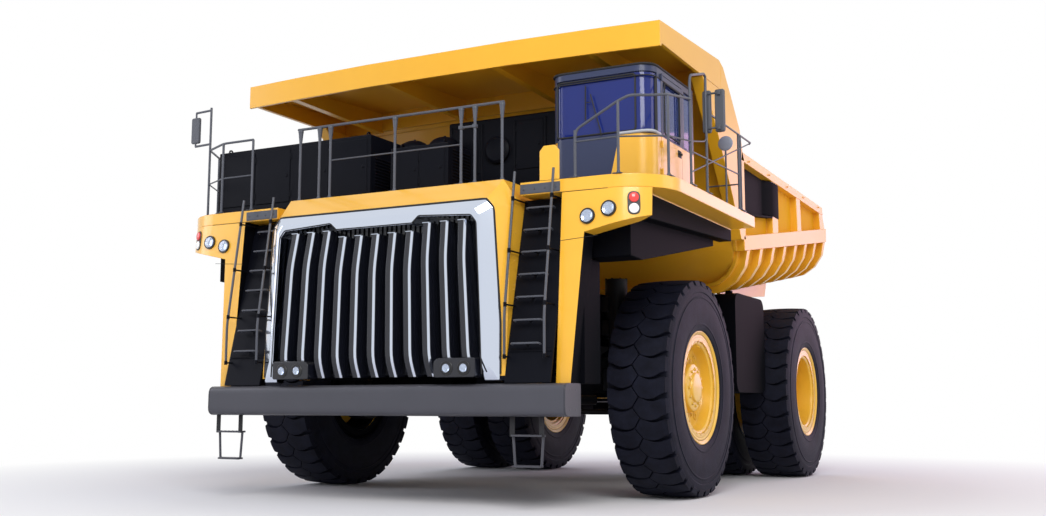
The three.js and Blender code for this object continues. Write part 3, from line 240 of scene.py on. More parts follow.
def add_lug_row(bm, side):
    """one row of lugs: a grid laid on the crown, thickened, bevelled and repeated round the wheel"""
    pitch = math.tau / LUGS
    grid = bmesh.ops.create_grid(bm, x_segments=7, y_segments=4, size=0.5)["verts"]
    faces = list({face for vert in grid for face in vert.link_faces})
    raised = bmesh.ops.extrude_face_region(bm, geom=faces, use_keep_orig=True)["geom"]
    top = [item for item in raised if isinstance(item, bmesh.types.BMVert)]
    for verts, depth in ((grid, LUG_DEPTH), (top, 0.0)):
        for vert in verts:
            across, along = vert.co.x + 0.5, vert.co.y + 0.5
            inner = ZIGZAG * (abs(along - 0.5) * 4 - 1) + GROOVE
            x = inner + (TREAD_EDGE - inner) * across
            wave = 0.17 * math.sin(math.pi * min(across * 1.1, 1)) - 0.05 * across
            inset = GROOVE / (pitch * TYRE_RADIUS) * (1 + 3.6 * across ** 1.4)
            angle = pitch * (inset + along * (1 - 2 * inset) + wave + (0.5 if side < 0 else 0))
            radius = TYRE_RADIUS - 0.001 - 0.016 * (x / TREAD_EDGE) ** 2 - depth
            x += 0.022 * (depth > 0) * across + 0.012 * across ** 4
            vert.co = (side * x, -radius * math.sin(angle), radius * math.cos(angle))
    rim = [e for e in {edge for vert in top for edge in vert.link_edges} if e.calc_face_angle(0) > 0.6
        and e.verts[0] in top and e.verts[1] in top]
    bmesh.ops.bevel(bm, geom=rim, offset=0.007, segments=2, profile=0.5, affect="EDGES", material=-1)


def tyre_mesh():
    bm = bmesh.new()
    for _, side in SIDES:
        add_lug_row(bm, side)
    bmesh.ops.spin(bm, geom=bm.verts[:] + bm.edges[:] + bm.faces[:], cent=(0, 0, 0), axis=(1, 0, 0),
        angle=math.tau * (LUGS - 1) / LUGS, steps=LUGS - 1, use_duplicate=True)
    crown = TYRE_RADIUS - LUG_DEPTH + 0.004
    face = [(0.66, 0.372), (0.803, 0.372), (0.806, 0.402), (0.83, 0.418), (0.88, 0.427), (0.886, 0.434),
        (0.906, 0.435), (0.912, 0.43), (1.0, 0.44), (1.09, 0.4435), (1.18, 0.441), (1.26, 0.434),
        (1.266, 0.439), (1.282, 0.438), (1.288, 0.43), (1.345, 0.424), (1.352, 0.434), (1.42, 0.428),
        (1.452, 0.412), (crown, 0.38), (crown + 0.004, 0.2), (crown + 0.006, 0.06)]
    profile = face + [(radius, -x) for radius, x in reversed(face)]
    add_turned(bm, profile, (0, 0, 0), steps=120, closed=True)
    bmesh.ops.recalc_face_normals(bm, faces=bm.faces)
    made = bpy.data.meshes.new("tyre")
    bm.to_mesh(made)
    return made


def hub_of(node):
    """the middle of a wheel's node, on its axle"""
    low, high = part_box(node)
    return Vector(((low.x + high.x) / 2, (low.y + high.y) / 2, TYRE_RADIUS))


tyre_shape = tyre_mesh()
WHEELS = {"front_tyre": "front_wheel", "rear_outer_tyre": "rear_wheels", "rear_inner_tyre": "rear_wheels"}
for kind, body in WHEELS.items():
    for name, side in SIDES:
        tyre = bmesh.new()
        tyre.from_mesh(tyre_shape)
        bmesh.ops.translate(tyre, verts=tyre.verts, vec=hub_of(f"{kind}_{name}"))
        close_piece(f"{kind}_rubber_{name}", tyre, tyre_rubber, f"{kind}_{name}", body=f"{body}_{name}",
            smooth=38, outward=False)

# ---- rims ------------------------------------------------------------------------------------
# Rolled steel rims in yellow enamel. The front disc carries a bolted hub with a domed cap; the rear
# pair is a deep plain barrel, bolted round the flange, with the final drive's cover at its foot.

yellow_enamel = enamel("yellow_enamel", "yellow_paint", "#f6bb35", "#f0b02a", roughness=0.33, coat=0.5)
rim_enamel = enamel("rim_enamel", "yellow_paint", "#f0c03a", "#e4b02c", dust="#8a7a62", dust_share=0.3,
    coat=0.4, roughness=0.35)


def turns(count, start=0.0):
    """evenly spaced angles of a full circle"""
    return [math.tau * (i + start) / count for i in range(count)]


def ring(centre, radius, count, x, start=0.0):
    """evenly spaced points round a wheel's axis"""
    return [Vector((x, centre.y + radius * math.cos(a), centre.z + radius * math.sin(a)))
        for a in turns(count, start)]


# the rim's edge on one face as (radius, along): gutter, lock ring and rolled lip
FLANGE = [(0.6, 0.3), (0.606, 0.335), (0.625, 0.352), (0.69, 0.362), (0.7, 0.372), (0.712, 0.372),
    (0.72, 0.366), (0.745, 0.372), (0.772, 0.392), (0.79, 0.403), (0.799, 0.4), (0.8005, 0.388),
    (0.7995, 0.3745), (0.654, 0.3745)]
BACK_FLANGE = [(radius, -x) for radius, x in reversed(FLANGE)]


def add_bolt_rings(bm, side, centre, rings):
    """rings of bolts on a disc: each ring's radius, count, place along the axle and bolt size"""
    for radius, count, along, size in rings:
        add_bolts(bm, ring(centre, radius, count, centre.x + side * along), (side, 0, 0), size)


def front_rim(side, centre):
    bm = bmesh.new()
    hub = [(0, 0.345), (0.168, 0.342), (0.2, 0.334), (0.212, 0.306), (0.3, 0.299), (0.328, 0.288),
        (0.342, 0.266), (0.346, 0.205), (0.366, 0.187), (0.545, 0.183), (0.575, 0.192), (0.592, 0.225)]
    back = BACK_FLANGE + [(0.6, 0.06), (0.33, 0.06), (0.33, -0.29), (0.2, -0.29), (0.2, 0.16), (0, 0.16)]
    add_turned(bm, [(r, side * x) for r, x in hub + FLANGE + back], centre, steps=96)
    add_bolt_rings(bm, side, centre, ((0.256, 12, 0.302, 0.02), (0.405, 20, 0.186, 0.022),
        (0.66, 24, 0.358, 0.019)))
    for point in ring(centre, 0.5, 10, centre.x + side * 0.184, 0.5):
        add_turned(bm, [(0.05, 0.0), (0.05, 0.012), (0.034, 0.012), (0.03, -0.01)], point, (side, 0, 0),
            steps=20)
    add_bar(bm, (centre.x + side * 0.34, centre.y, centre.z + 0.585),
        (centre.x + side * 0.385, centre.y, centre.z + 0.56), 0.01)
    return bm


def rear_rims(side, centre, inner_x):
    bm = bmesh.new()
    inner = (inner_x - centre.x) * side
    cover = [(0, 0.1), (0.09, 0.1), (0.11, 0.085), (0.33, 0.078), (0.372, 0.066), (0.384, 0.04),
        (0.386, -0.01), (0.41, -0.022), (0.56, -0.026), (0.588, -0.01), (0.6, 0.03)]
    pair = [(radius, inner + x) for radius, x in FLANGE[3:] + BACK_FLANGE]
    tail = [(0.56, inner - 0.3), (0.56, -0.1), (0, -0.1)]
    barrel = BACK_FLANGE[:-2] + [(0.64, -0.3), (0.64, inner + 0.3)]
    add_turned(bm, [(r, side * x) for r, x in cover + FLANGE + barrel + pair + tail], centre, steps=96)
    add_bolt_rings(bm, side, centre, ((0.485, 24, -0.022, 0.02), (0.3, 12, 0.08, 0.018),
        (0.66, 24, 0.358, 0.017)))
    return bm


for name, side in SIDES:
    hub = hub_of(f"front_tyre_{name}")
    front = front_rim(side, hub)
    # the rim's inner side takes black enamel: painted shade, for the shadow behind the front wheels
    for face in front.faces:
        face.material_index = (face.calc_center_median().x - hub.x) * side < -0.02
    close_piece(f"front_rim_steel_{name}", front, (rim_enamel, underbody_black), f"front_rim_{name}",
        body=f"front_wheel_{name}")
    pair = rear_rims(side, hub_of(f"rear_outer_tyre_{name}"), hub_of(f"rear_inner_tyre_{name}").x)
    close_piece(f"rear_rim_steel_{name}", pair, rim_enamel, f"rear_rims_{name}", body=f"rear_wheels_{name}")

# ---- bumper and hanging steps ----------------------------------------------------------------
# A folded box beam in dark grey satin enamel, with a bolted end plate each side, and a step of
# bent bar on rubber straps under each ladder.

grey_enamel = enamel("dark_grey_enamel", "bumper_grey", "#4a4a52", "#3f4047", coat=0.1, roughness=0.42,
    specular=0.3)
step_rubber = new_material("moulded_strap_rubber", "tyre_rubber", base="#1c1c20", roughness=0.8)


def rounded(points, radius, steps=5, closed=False):
    """a path of points whose corners are turned in arcs"""
    points = [Vector(point) for point in points]
    made = []
    for i, corner in enumerate(points):
        if not closed and i in (0, len(points) - 1):
            made.append(corner)
            continue
        legs = [points[i - 1] - corner, points[(i + 1) % len(points)] - corner]
        reach = min(radius[i] if isinstance(radius, (list, tuple)) else radius,
            *(leg.length * 0.49 for leg in legs))
        start, end = (corner + leg.normalized() * reach for leg in legs)
        for step in range(steps + 1):
            t = step / steps
            made.append(start.lerp(corner, t).lerp(corner.lerp(end, t), t))
    return made


def add_curve(bm, curve, place=Matrix.Identity(4)):
    """adds a curve's mesh to a bmesh"""
    carrier = bpy.data.objects.new("carrier", curve)
    mesh = bpy.data.meshes.new_from_object(carrier)
    mesh.transform(place)
    bm.from_mesh(mesh)
    bpy.data.objects.remove(carrier)
    bpy.data.meshes.remove(mesh)


def add_spline(curve, points, closed):
    spline = curve.splines.new("POLY")
    spline.points.add(len(points) - 1)
    for made, point in zip(spline.points, points):
        made.co = (*point, 0, 1) if len(point) == 2 else (*point, 1)
    spline.use_cyclic_u = closed


def add_tube(bm, points, radius, corner=0.08, closed=False, fine=3):
    """a round tube bent along points"""
    curve = bpy.data.curves.new("tube", "CURVE")
    curve.dimensions, curve.bevel_depth, curve.bevel_resolution = "3D", radius, fine
    curve.use_fill_caps = True
    add_spline(curve, rounded(points, corner, closed=closed), closed)
    add_curve(bm, curve)


FACING_FRONT = Matrix(((1, 0, 0, 0), (0, 0, -1, 0), (0, 1, 0, 0), (0, 0, 0, 1)))
FACING_SIDE = Matrix(((0, 0, 1, 0), (1, 0, 0, 0), (0, 1, 0, 0), (0, 0, 0, 1)))
FACING_UP = Matrix.Identity(4)


def add_plate(bm, outlines, span, facing, bevel=0.006):
    """a plate with its holes, drawn flat and set between two distances along the way that it faces"""
    curve = bpy.data.curves.new("plate", "CURVE")
    curve.dimensions, curve.fill_mode, curve.bevel_resolution = "2D", "BOTH", 1
    depth = abs(span[1] - span[0])
    curve.bevel_depth, curve.offset, curve.extrude = bevel, -bevel, depth / 2 - bevel
    for outline in outlines:
        add_spline(curve, [Vector(point[:2]) for point in outline], True)
    along = -1 if facing is FACING_FRONT else 1
    add_curve(bm, curve, facing @ Matrix.Translation((0, 0, along * sum(span) / 2)))


def rectangle(x0, z0, x1, z1):
    return [(x0, z0), (x1, z0), (x1, z1), (x0, z1)]


low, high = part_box("front_bumper")
BEAM_FOOT = 1.145
END_PLATE = 0.012
beam = bmesh.new()
section = rounded(rectangle(low.y, BEAM_FOOT, high.y, high.z), [0.11, 0.02, 0.02, 0.11], closed=True)
add_plate(beam, [section], (low.x + END_PLATE + 0.004, high.x - END_PLATE - 0.004), FACING_SIDE, 0.008)
for _, side in SIDES:
    x = side * high.x
    add_plate(beam, [section], sorted((x, x - side * END_PLATE)), FACING_SIDE, 0.004)
    add_bolts(beam, [(x - side * 0.016, low.y + 0.14 + 0.17 * i, z) for i in range(2)
        for z in (BEAM_FOOT + 0.08, high.z - 0.08)], (side, 0, 0), 0.015)
close_piece("bumper_beam", beam, grey_enamel, "front_bumper")

STEP_X, STEP_TOP = (2.18, -2.51), 0.915      # under each ladder; the right one hangs further out
steps, straps = bmesh.new(), bmesh.new()
y, foot = low.y + 0.2, low.z + 0.022
for x in STEP_X:
    add_tube(steps, [(x - 0.205, y, STEP_TOP), (x - 0.18, y, foot), (x + 0.18, y, foot),
        (x + 0.205, y, STEP_TOP)], 0.017, 0.03)
    for z, half in ((foot, 0.175), (STEP_TOP, 0.21)):
        add_plate(steps, [rectangle(x - half, y - 0.06, x + half, y + 0.06)], (z - 0.012, z + 0.012),
            FACING_UP, 0.004)
        add_bolts(steps, [(x + half * (i / 3 - 1), y + dy, z + 0.008) for i in range(7)
            for dy in (-0.03, 0.03)], (0, 0, 1), 0.007)
    for end in (-0.2, 0.2):
        add_block(straps, (x + end - 0.035, y - 0.045, 0.9), (x + end + 0.035, y - 0.03, BEAM_FOOT + 0.03),
            0.005)
close_piece("hanging_steps", steps, grey_enamel)
close_piece("step_straps", straps, step_rubber)

# ---- hood ------------------------------------------------------------------------------------
# The yellow cowl over the radiator and engine: folded sheet with a long bevel down each side and a
# black rubber strip where the chrome frame sits on it. Small round-headed screws hold its edge.

trim_rubber = new_material("extruded_rubber_trim", "black_plastic", base="#131316", roughness=0.7)
FRAME_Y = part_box("grille_surround")[0].y
low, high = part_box("hood")
hood = frame_copy("hood", bevel=0.018)
for side in (1, -1):
    for i in range(6):
        y, z = -5.33 + 0.0625 * (0.95 + 0.36 * i), 2.0 + 0.36 * i
        add_bar(hood, (side * (high.x - 0.004), y + 0.1, z), (side * (high.x + 0.004), y + 0.1, z), 0.013,
            0.009, 12)
for face in hood.faces:
    at = face.calc_center_median()
    face.material_index = (face.normal.y < -0.9 and abs(at.x) < 1.5) or (face.normal.z < -0.8
        and at.y < -4.0)
close_piece("hood_cowl", hood, (yellow_enamel, underbody_black), "hood", outward=False)

# ---- grille ----------------------------------------------------------------------------------
# A one-piece pressed chrome surround, domed towards its mouth, around eleven black upright blades.
# Each blade has bright chamfers and leans back at its head; twin fog lamps fill the lower corners.

chrome = new_material("bright_chrome", "chrome", base="#cdd5e4", metallic=1.0, roughness=0.1)
refinish("chrome_surround", "grille_surround", chrome, bevel=0.016, smooth=40)


def mirrored_outline(points):
    """an outline of its right half, closed across the middle"""
    return points + [(-x, z) for x, z in reversed(points)]


seal = bmesh.new()
rim = rounded([(x, 0, z) for x, z in mirrored_outline([(1.85, 1.66), (1.85, 2.3), (1.75, 3.745),
    (1.64, 3.868)])], 0.05, 4)
add_tube(seal, [(point.x, FRAME_Y + 0.118, point.z) for point in rim], 0.012, 0.0, fine=1)
lips = [(1.645, 1.66), (1.62, 2.3), (1.56, 3.56), (1.48, 3.66), (0.7, 3.705), (0.6, 3.615)]
for end in (1, -1):
    add_tube(seal, [(end * x, FRAME_Y + 0.006, z) for x, z in lips], 0.01, 0.03, fine=1)
add_tube(seal, [(-0.6, FRAME_Y + 0.006, 3.615), (0.6, FRAME_Y + 0.006, 3.615)], 0.01, 0.0, fine=1)
close_piece("surround_seal", seal, trim_rubber)

blade_black = enamel("gloss_black_blade", "black_paint", "#1b1d27", "#12141c", coat=0.5, roughness=0.25,
    specular=0.3)
core_black = new_material("matt_radiator_core", "black_paint", base="#07080a", roughness=0.8, specular=0.1)
BLADE_HALF, BLADE_BACK = 0.062, -5.19


def add_sweep(bm, rings):
    """a skin through a list of closed rings of points, capped at both ends"""
    loops = []
    for points in rings:
        verts = [bm.verts.new(point) for point in points]
        loops.append([bm.edges.new((verts[i - 1], verts[i])) for i in range(len(verts))])
    for first, second in zip(loops, loops[1:]):
        bmesh.ops.bridge_loops(bm, edges=first + second)
    for loop in (loops[0], loops[-1]):
        bmesh.ops.contextual_create(bm, geom=loop)


def blade_x(number, z):
    """the blades fan out towards the foot"""
    return number * (0.278 - 0.0118 * (z - 2.5))


def blade_path(head_z):
    """front edge of a blade as (y, z): tucked in at its foot, upright, then leaning back"""
    nose = -5.513
    points = [(nose + 0.11, 1.64), (nose, 1.87), (nose, head_z - 0.48), (nose + 0.078, head_z)]
    return [(point.x, point.y) for point in rounded(points, 0.12, 3)]


blades, edges = bmesh.new(), bmesh.new()
add_block(blades, (-1.62, -5.195, 1.67), (1.62, -5.15, 3.7), 0.004)
for i in range(-5, 6):
    head_z = 3.61 if abs(i) > 2 else 3.515
    path = blade_path(head_z)
    body = [(-BLADE_HALF, 0.034), (-0.033, 0.0), (0.033, 0.0), (BLADE_HALF, 0.034)]
    rings = []
    for y, z in path:
        x = blade_x(i, z)
        back = [(x + BLADE_HALF, BLADE_BACK, z), (x - BLADE_HALF, BLADE_BACK, z)]
        rings.append([(x + dx, y + dy, z) for dx, dy in body] + back)
    add_sweep(blades, rings)
    for end, strip in ((1, [(0.035, 0.0024), (0.036, 0.0007), (0.0578, 0.0262), (0.0568, 0.0279)]),
            (-1, [(0.051, 0.0211), (0.052, 0.0194), (0.0575, 0.0258), (0.0565, 0.0275)])):
        add_sweep(edges, [[(blade_x(i, z) + end * dx, y + dy, z) for dx, dy in strip] for y, z in path])
    x = blade_x(i, head_z)
    add_block(edges, (x - 0.055, path[-1][0] - 0.002, head_z - 0.004),
        (x + 0.055, BLADE_BACK - 0.06, head_z + 0.006), 0.003)
close_piece("grille_blades", blades, blade_black, "grille_bars")
close_piece("blade_edges", edges, chrome)

core = bmesh.new()
for i in range(44):
    x = -1.6 + i * 3.2 / 43
    add_block(core, (x - 0.004, -5.215, 1.7), (x + 0.004, -5.19, 3.66), 0.001)
close_piece("radiator_fins", core, core_black)

# ---- lamps -----------------------------------------------------------------------------------
# Round sealed-beam units: a black bezel, a bright spun reflector and a clear moulded lens, sunk in
# dark rings; beside the outer pair a red lens over a white one in a black oval.

bezel_black = new_material("moulded_bezel", "black_plastic", base="#101014", roughness=0.4)
lens_glass = new_material("moulded_lens", "lamp_lens", base="#eef3fa", roughness=0.06,
    transmission_weight=0.9, ior=1.45)
lens_red = new_material("red_moulded_lens", "lamp_red", base="#e8403a", roughness=0.18, coat_weight=0.6)
lens_white = new_material("white_moulded_lens", "lamp_lens", base="#f8f8f4", roughness=0.2, coat_weight=0.6)


def add_lamp(parts, centre, radius, axis, depth=0.03):
    """bezel, reflector and lens of one round lamp on a surface, facing along an axis"""
    r, d = radius, depth
    add_turned(parts["bezel"], [(0, 0), (r, 0), (r, d * 0.8), (r * 0.96, d), (r * 0.82, d),
        (r * 0.8, d * 0.5), (0, d * 0.3)], centre, axis, 36)
    add_turned(parts["reflector"], [(0, d * 0.36), (r * 0.3, d * 0.4), (r * 0.56, d * 0.62),
        (r * 0.79, d * 0.92), (r * 0.79, d * 0.34), (0, d * 0.34)], centre, axis, 36)
    add_turned(parts["lens"], [(0, d * 1.35), (r * 0.45, d * 1.25), (r * 0.78, d * 0.98),
        (r * 0.78, d * 0.93), (r * 0.45, d * 1.15), (0, d * 1.25)], centre, axis, 36)


lamps = {part: bmesh.new() for part in ("bezel", "reflector", "lens", "housing", "red", "white")}
POD_LEAN = Vector((0, -0.9968, 0.0797))           # the way the pods and pillars face
pod_y = lambda z: -5.05 + 0.08 * (z - 3.92)
CORNER = 0.7
DECK_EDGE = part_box("deck_left")[1].x
for side in (1, -1):
    for x, z in ((2.91, 3.585), (3.19, 3.66)):
        add_lamp(lamps, Vector((side * x, pod_y(z), z)) - POD_LEAN * 0.004, 0.1, POD_LEAN)
    turn = 0.46
    outward = Vector((side * math.sin(turn), -math.cos(turn), 0.06)).normalized()
    at = Vector((side * (DECK_EDGE - CORNER), -5.05 + CORNER, 3.715)) + outward * (CORNER + 0.004)
    at.z = 3.715
    facing = Matrix.Translation(at) @ outward.to_track_quat("Z", "Y").to_matrix().to_4x4()
    tall = rounded(rectangle(-0.078, -0.145, 0.078, 0.145), 0.075, 6, True)
    curve = bpy.data.curves.new("oval", "CURVE")
    curve.dimensions, curve.fill_mode, curve.extrude = "2D", "BOTH", 0.016
    curve.bevel_depth, curve.offset = 0.006, -0.006
    add_spline(curve, [point.to_2d() for point in tall], True)
    add_curve(lamps["bezel"], curve, facing)
    for kind, dz in (("red", 0.068), ("white", -0.068)):
        add_turned(lamps[kind], [(0, 0.034), (0.035, 0.031), (0.06, 0.02), (0.062, 0.004), (0, 0.004)],
            at + Vector((0, 0, dz)) + outward * 0.014, outward, 28)
    for x in (1.17, 1.42):
        add_turned(lamps["bezel"], [(0, 0), (0.092, 0), (0.092, 0.006), (0.086, 0.012), (0.068, 0.012),
            (0.064, 0.004), (0, 0.004)], (side * x, -5.517, 1.738), (0, -1, 0), 36)
        add_lamp(lamps, (side * x, -5.52, 1.738), 0.066, (0, -1, 0), 0.014)
    tray = rounded([(side * 0.98, 1.625), (side * 1.58, 1.625), (side * 1.58, 1.865), (side * 1.04, 1.865),
        (side * 0.98, 1.82)], 0.03, 4, True)
    if side < 0:
        tray = tray[::-1]
    add_plate(lamps["housing"], [tray], (-5.5185, -5.2), FACING_FRONT, 0.008)
for part, material in (("bezel", bezel_black), ("reflector", chrome), ("lens", lens_glass),
        ("housing", blade_black), ("red", lens_red), ("white", lens_white)):
    close_piece(f"lamp_{part}", lamps[part], material)

# ---- pillars and lamp pods -------------------------------------------------------------------
# A welded yellow box pod under each front deck corner, running down into a tapered pillar, with a
# black column behind it. The yellow plates butt at a fine seam under the deck's band; the thin black
# lines along the joints are painted shadow, for the shade in the gaps.

for name, side in SIDES:
    panels = frame_copy(f"fender_{name}", bevel=0.014)
    seam = [(side * 2.55, pod_y(3.3) - 0.0015, 3.3), (side * 3.05, pod_y(3.33) - 0.0015, 3.335)]
    for face in panels.faces:
        at = face.calc_center_median()
        face.material_index = at.z < 3.36 and (at.y > -4.99 or (abs(face.normal.x) > 0.7
            and at.x * face.normal.x > 0))
    close_piece(f"lamp_pod_{name}", panels, (yellow_enamel, underbody_black), f"fender_{name}",
        outward=False)
    # thin black lines along the joints: painted shadow, for the shade in the gaps between the plates
    gap_shadow_lines = bmesh.new()
    add_bar(gap_shadow_lines, seam[0], seam[1], 0.003, segments=8)
    add_bar(gap_shadow_lines, (side * 2.4, pod_y(3.92) - 0.001, 3.918), (side * 3.17, pod_y(3.92) - 0.001, 3.918),
        0.003, segments=8)
    close_piece(f"pod_gap_shadow_{name}", gap_shadow_lines, trim_rubber)

# ---- decks -----------------------------------------------------------------------------------
# Steel decks each side of the hood: a yellow edge band with rounded outer corners, a black
# chequer-plate top, and the deep black suspension housings hanging underneath.

tread_black = new_material("chequer_plate", "black_paint", roughness=0.5, specular=0.2)
place = add_node(tread_black, "TexCoord", {}).outputs["Object"]
turned_map = add_node(tread_black, "Mapping", {"Vector": place, "Rotation": (0, 0, math.pi / 4)})
raised = add_node(tread_black, "TexBrick", {"Vector": turned_map.outputs[0], "Scale": 22.0,
    "Mortar Size": 0.28, "Mortar Smooth": 0.6, "Color1": colour("#ffffff"), "Color2": colour("#ffffff"),
    "Mortar": colour("#000000")})
worn = add_node(tread_black, "TexNoise", {"Vector": place, "Scale": 3.0, "Detail": 8.0})
scuffed = add_node(tread_black, "Mix", {0: worn.outputs["Fac"], 6: colour("#17181c"), 7: colour("#34343a")},
    data_type="RGBA")
studs = add_node(tread_black, "Bump", {"Height": raised.outputs["Color"], "Strength": 0.5,
    "Distance": 0.004})
dress(tread_black, scuffed, studs)

rail_grey = enamel("grey_powder_coat", "rail_grey", "#53565f", "#474a52", coat=0.1, roughness=0.42,
    specular=0.3)

for name, side in SIDES:
    deck = frame_copy(f"deck_{name}", bevel=0.012)
    for face in deck.faces:
        centre, normal = face.calc_center_median(), face.normal
        top = normal.z > 0.7 and centre.z > 3.9 and centre.z < 4.2
        housing = centre.z < 3.905 and centre.y > -4.93
        walk = abs(centre.x) < 1.955 and centre.z < 4.2
        face.material_index = 1 if top else 2 if housing or walk else 0
    close_piece(f"deck_plate_{name}", deck, (yellow_enamel, tread_black, underbody_black), f"deck_{name}",
        outward=False)
    strip = bmesh.new()
    add_block(strip, (side * 1.965, -5.062, 3.935), (side * 2.525, -5.046, 4.06), 0.004)
    add_bolts(strip, [(side * (2.02 + 0.15 * i), -5.062, 3.995) for i in range(4)], (0, -1, 0), 0.008)
    close_piece(f"deck_strip_{name}", strip, rail_grey)

# ---- ladders ---------------------------------------------------------------------------------
# A leaning black back plate each side of the grille with bent grey rungs standing off it on angle
# brackets, and a grey grab rail down each edge on black stand-offs.

for name, side in SIDES:
    lean = lambda z: -5.27 + 0.24 * (z - 2.03)
    back, rungs = bmesh.new(), bmesh.new()
    x0, x1 = side * 1.918, side * 2.542
    add_sweep(back, [[(x0, lean(z) + 0.028, z), (x0, lean(z), z), (x1, lean(z), z),
        (x1, lean(z) + 0.028, z)] for z in (1.55, 3.895)])
    add_block(back, (side * 1.93, lean(1.94) - 0.012, 1.93), (side * 2.53, lean(1.94) + 0.02, 1.955), 0.004)
    for i in range(7):
        z = 2.03 + 0.29 * i
        y = -5.39 + 0.24 * (z - 2.03)
        add_tube(rungs, [(side * 2.007, y + 0.06, z - 0.012), (side * 2.007, y, z), (side * 2.388, y, z),
            (side * 2.388, y + 0.06, z - 0.012)], 0.013, 0.03)
        add_plate(rungs, [[(side * 2.012, y - 0.006), (side * 2.383, y - 0.006), (side * 2.383, y + 0.045),
            (side * 2.012, y + 0.045)][::side]], (z - 0.008, z + 0.006), FACING_UP, 0.003)
        add_block(back, (side * 2.18, y + 0.01, z - 0.016), (side * 2.215, lean(z) + 0.01, z - 0.006),
            0.002)
        add_block(back, (side * 2.18, lean(z) - 0.012, z - 0.09), (side * 2.215, lean(z) + 0.01, z - 0.006),
            0.002)
    for x in (1.942, 2.488):
        add_tube(rungs, [(side * x, -5.16, 4.215), (side * x, -5.43, 2.4), (side * x, -5.43, 1.85)], 0.017,
            0.1)
        for y, z in ((-5.213, 3.86), (-5.313, 3.19), (-5.414, 2.51), (-5.43, 1.87)):
            add_bar(back, (side * x, y, z), (side * x, lean(z) + 0.01, z), 0.011, segments=12)
            add_bar(back, (side * x, y, z - 0.028), (side * x, y, z + 0.028), 0.022, segments=16)
            add_bolts(back, [(side * x, lean(z) - 0.002, z)], (0, -1, 0), 0.012)
    close_piece(f"ladder_back_{name}", back, black_enamel, f"ladder_{name}")
    close_piece(f"ladder_rungs_{name}", rungs, rail_grey, f"ladder_{name}")

# ---- handrails and mirrors -------------------------------------------------------------------
# Bent grey steel tube on flanged feet: a rail across the hood, one down each deck, and the taller
# masts that carry the mirrors and the lamp stem.

DECK_TOP, RAIL_X, HOOD_RAIL_Y = 4.09, 3.83, -4.99


def add_post(bm, x, y, foot, head, radius=0.018):
    """an upright tube with a turned foot, welded to a bolted base plate"""
    add_bar(bm, (x, y, foot), (x, y, head), radius, radius, 20)
    add_bar(bm, (x, y, foot), (x, y, foot + 0.05), radius * 1.9, radius, 20)
    add_plate(bm, [rectangle(x - 0.06, y - 0.06, x + 0.06, y + 0.06)], (foot, foot + 0.01), FACING_UP,
        0.002)
    add_bolts(bm, [(x + dx, y + dy, foot + 0.008) for dx in (-0.042, 0.042) for dy in (-0.042, 0.042)],
        (0, 0, 1), 0.007)


def along_rail(*spots):
    """points in the plane of a deck's outer rail"""
    return [(RAIL_X, y, z) for y, z in spots]


hood_rail = bmesh.new()
HOOD_POSTS = (-1.62, -1.28, -1.09, 0.0, 1.05, 1.26, 1.667)
for x in HOOD_POSTS:
    add_post(hood_rail, x, HOOD_RAIL_Y, 4.155, 5.2, 0.019)
    add_bar(hood_rail, (x, HOOD_RAIL_Y, 4.98), (x, HOOD_RAIL_Y, 5.16), 0.019, 0.036, 20)
    add_bar(hood_rail, (x, HOOD_RAIL_Y, 5.155), (x, HOOD_RAIL_Y, 5.19), 0.038, segments=20)
for radius, x0, x1, z in ((0.019, -1.667, 1.695, 5.2), (0.01, -1.09, 1.05, 4.7)):
    add_tube(hood_rail, [(x0, HOOD_RAIL_Y, z), (x1, HOOD_RAIL_Y, z)], radius, 0.05)
for x in HOOD_POSTS[-3:-1]:
    add_block(hood_rail, (x - 0.03, -5.02, 4.9), (x + 0.03, -4.96, 4.95), 0.008)
add_tube(hood_rail, [(1.05, HOOD_RAIL_Y, 4.925), (1.26, HOOD_RAIL_Y, 4.925)], 0.016, 0.02)
close_piece("hood_rail", hood_rail, rail_grey, "handrail_hood")

left_rail = bmesh.new()
for x, y, head in ((2.71, -5.0, 4.7), (3.29, -4.99, 5.01), (3.78, -4.55, 5.14), (RAIL_X, -3.85, 5.49),
        (RAIL_X, -3.2, 5.72), (RAIL_X, -1.73, 5.23), (RAIL_X, -1.64, 5.23)):
    add_post(left_rail, x, y, DECK_TOP, head)
add_bar(left_rail, (RAIL_X, -2.35, DECK_TOP), (RAIL_X, -2.35, 4.87), 0.014, segments=16)
LEFT_TUBES = (                 # radius, reach of the bends, points
    (0.017, 0.06, [(2.71, -5.0, 4.6), (2.73, -5.0, 4.71), (3.29, -4.99, 5.01), (3.44, -4.97, 5.07),
        (3.64, -4.76, 5.095), (3.78, -4.55, 5.14), (RAIL_X, -3.85, 5.245)]),
    (0.011, 0.06, [(2.71, -5.0, 4.55), (3.29, -4.99, 4.56), (3.78, -4.55, 4.61), (RAIL_X, -3.85, 4.68)]),
    (0.017, 0.08, along_rail((-3.85, 5.49), (-3.82, 5.57), (-3.25, 5.74), (-3.2, 5.7))),
    (0.011, 0.05, along_rail((-3.85, 4.68), (-3.3, 4.79), (-3.2, 4.85))),
    (0.014, 0.02, along_rail((-3.2, 5.228), (-1.095, 5.228), (-1.16, 5.195))),
    (0.01, 0.05, along_rail((-3.85, 4.27), (-1.16, 5.2))),
    (0.011, 0.05, along_rail((-3.85, 4.55), (-1.73, 4.625))),
    (0.011, 0.05, [(RAIL_X, -1.73, 4.48), (3.34, -1.73, 4.48)]),
)
for radius, corner, points in LEFT_TUBES:
    add_tube(left_rail, points, radius, corner)
close_piece("left_rail", left_rail, rail_grey, "handrail_left")

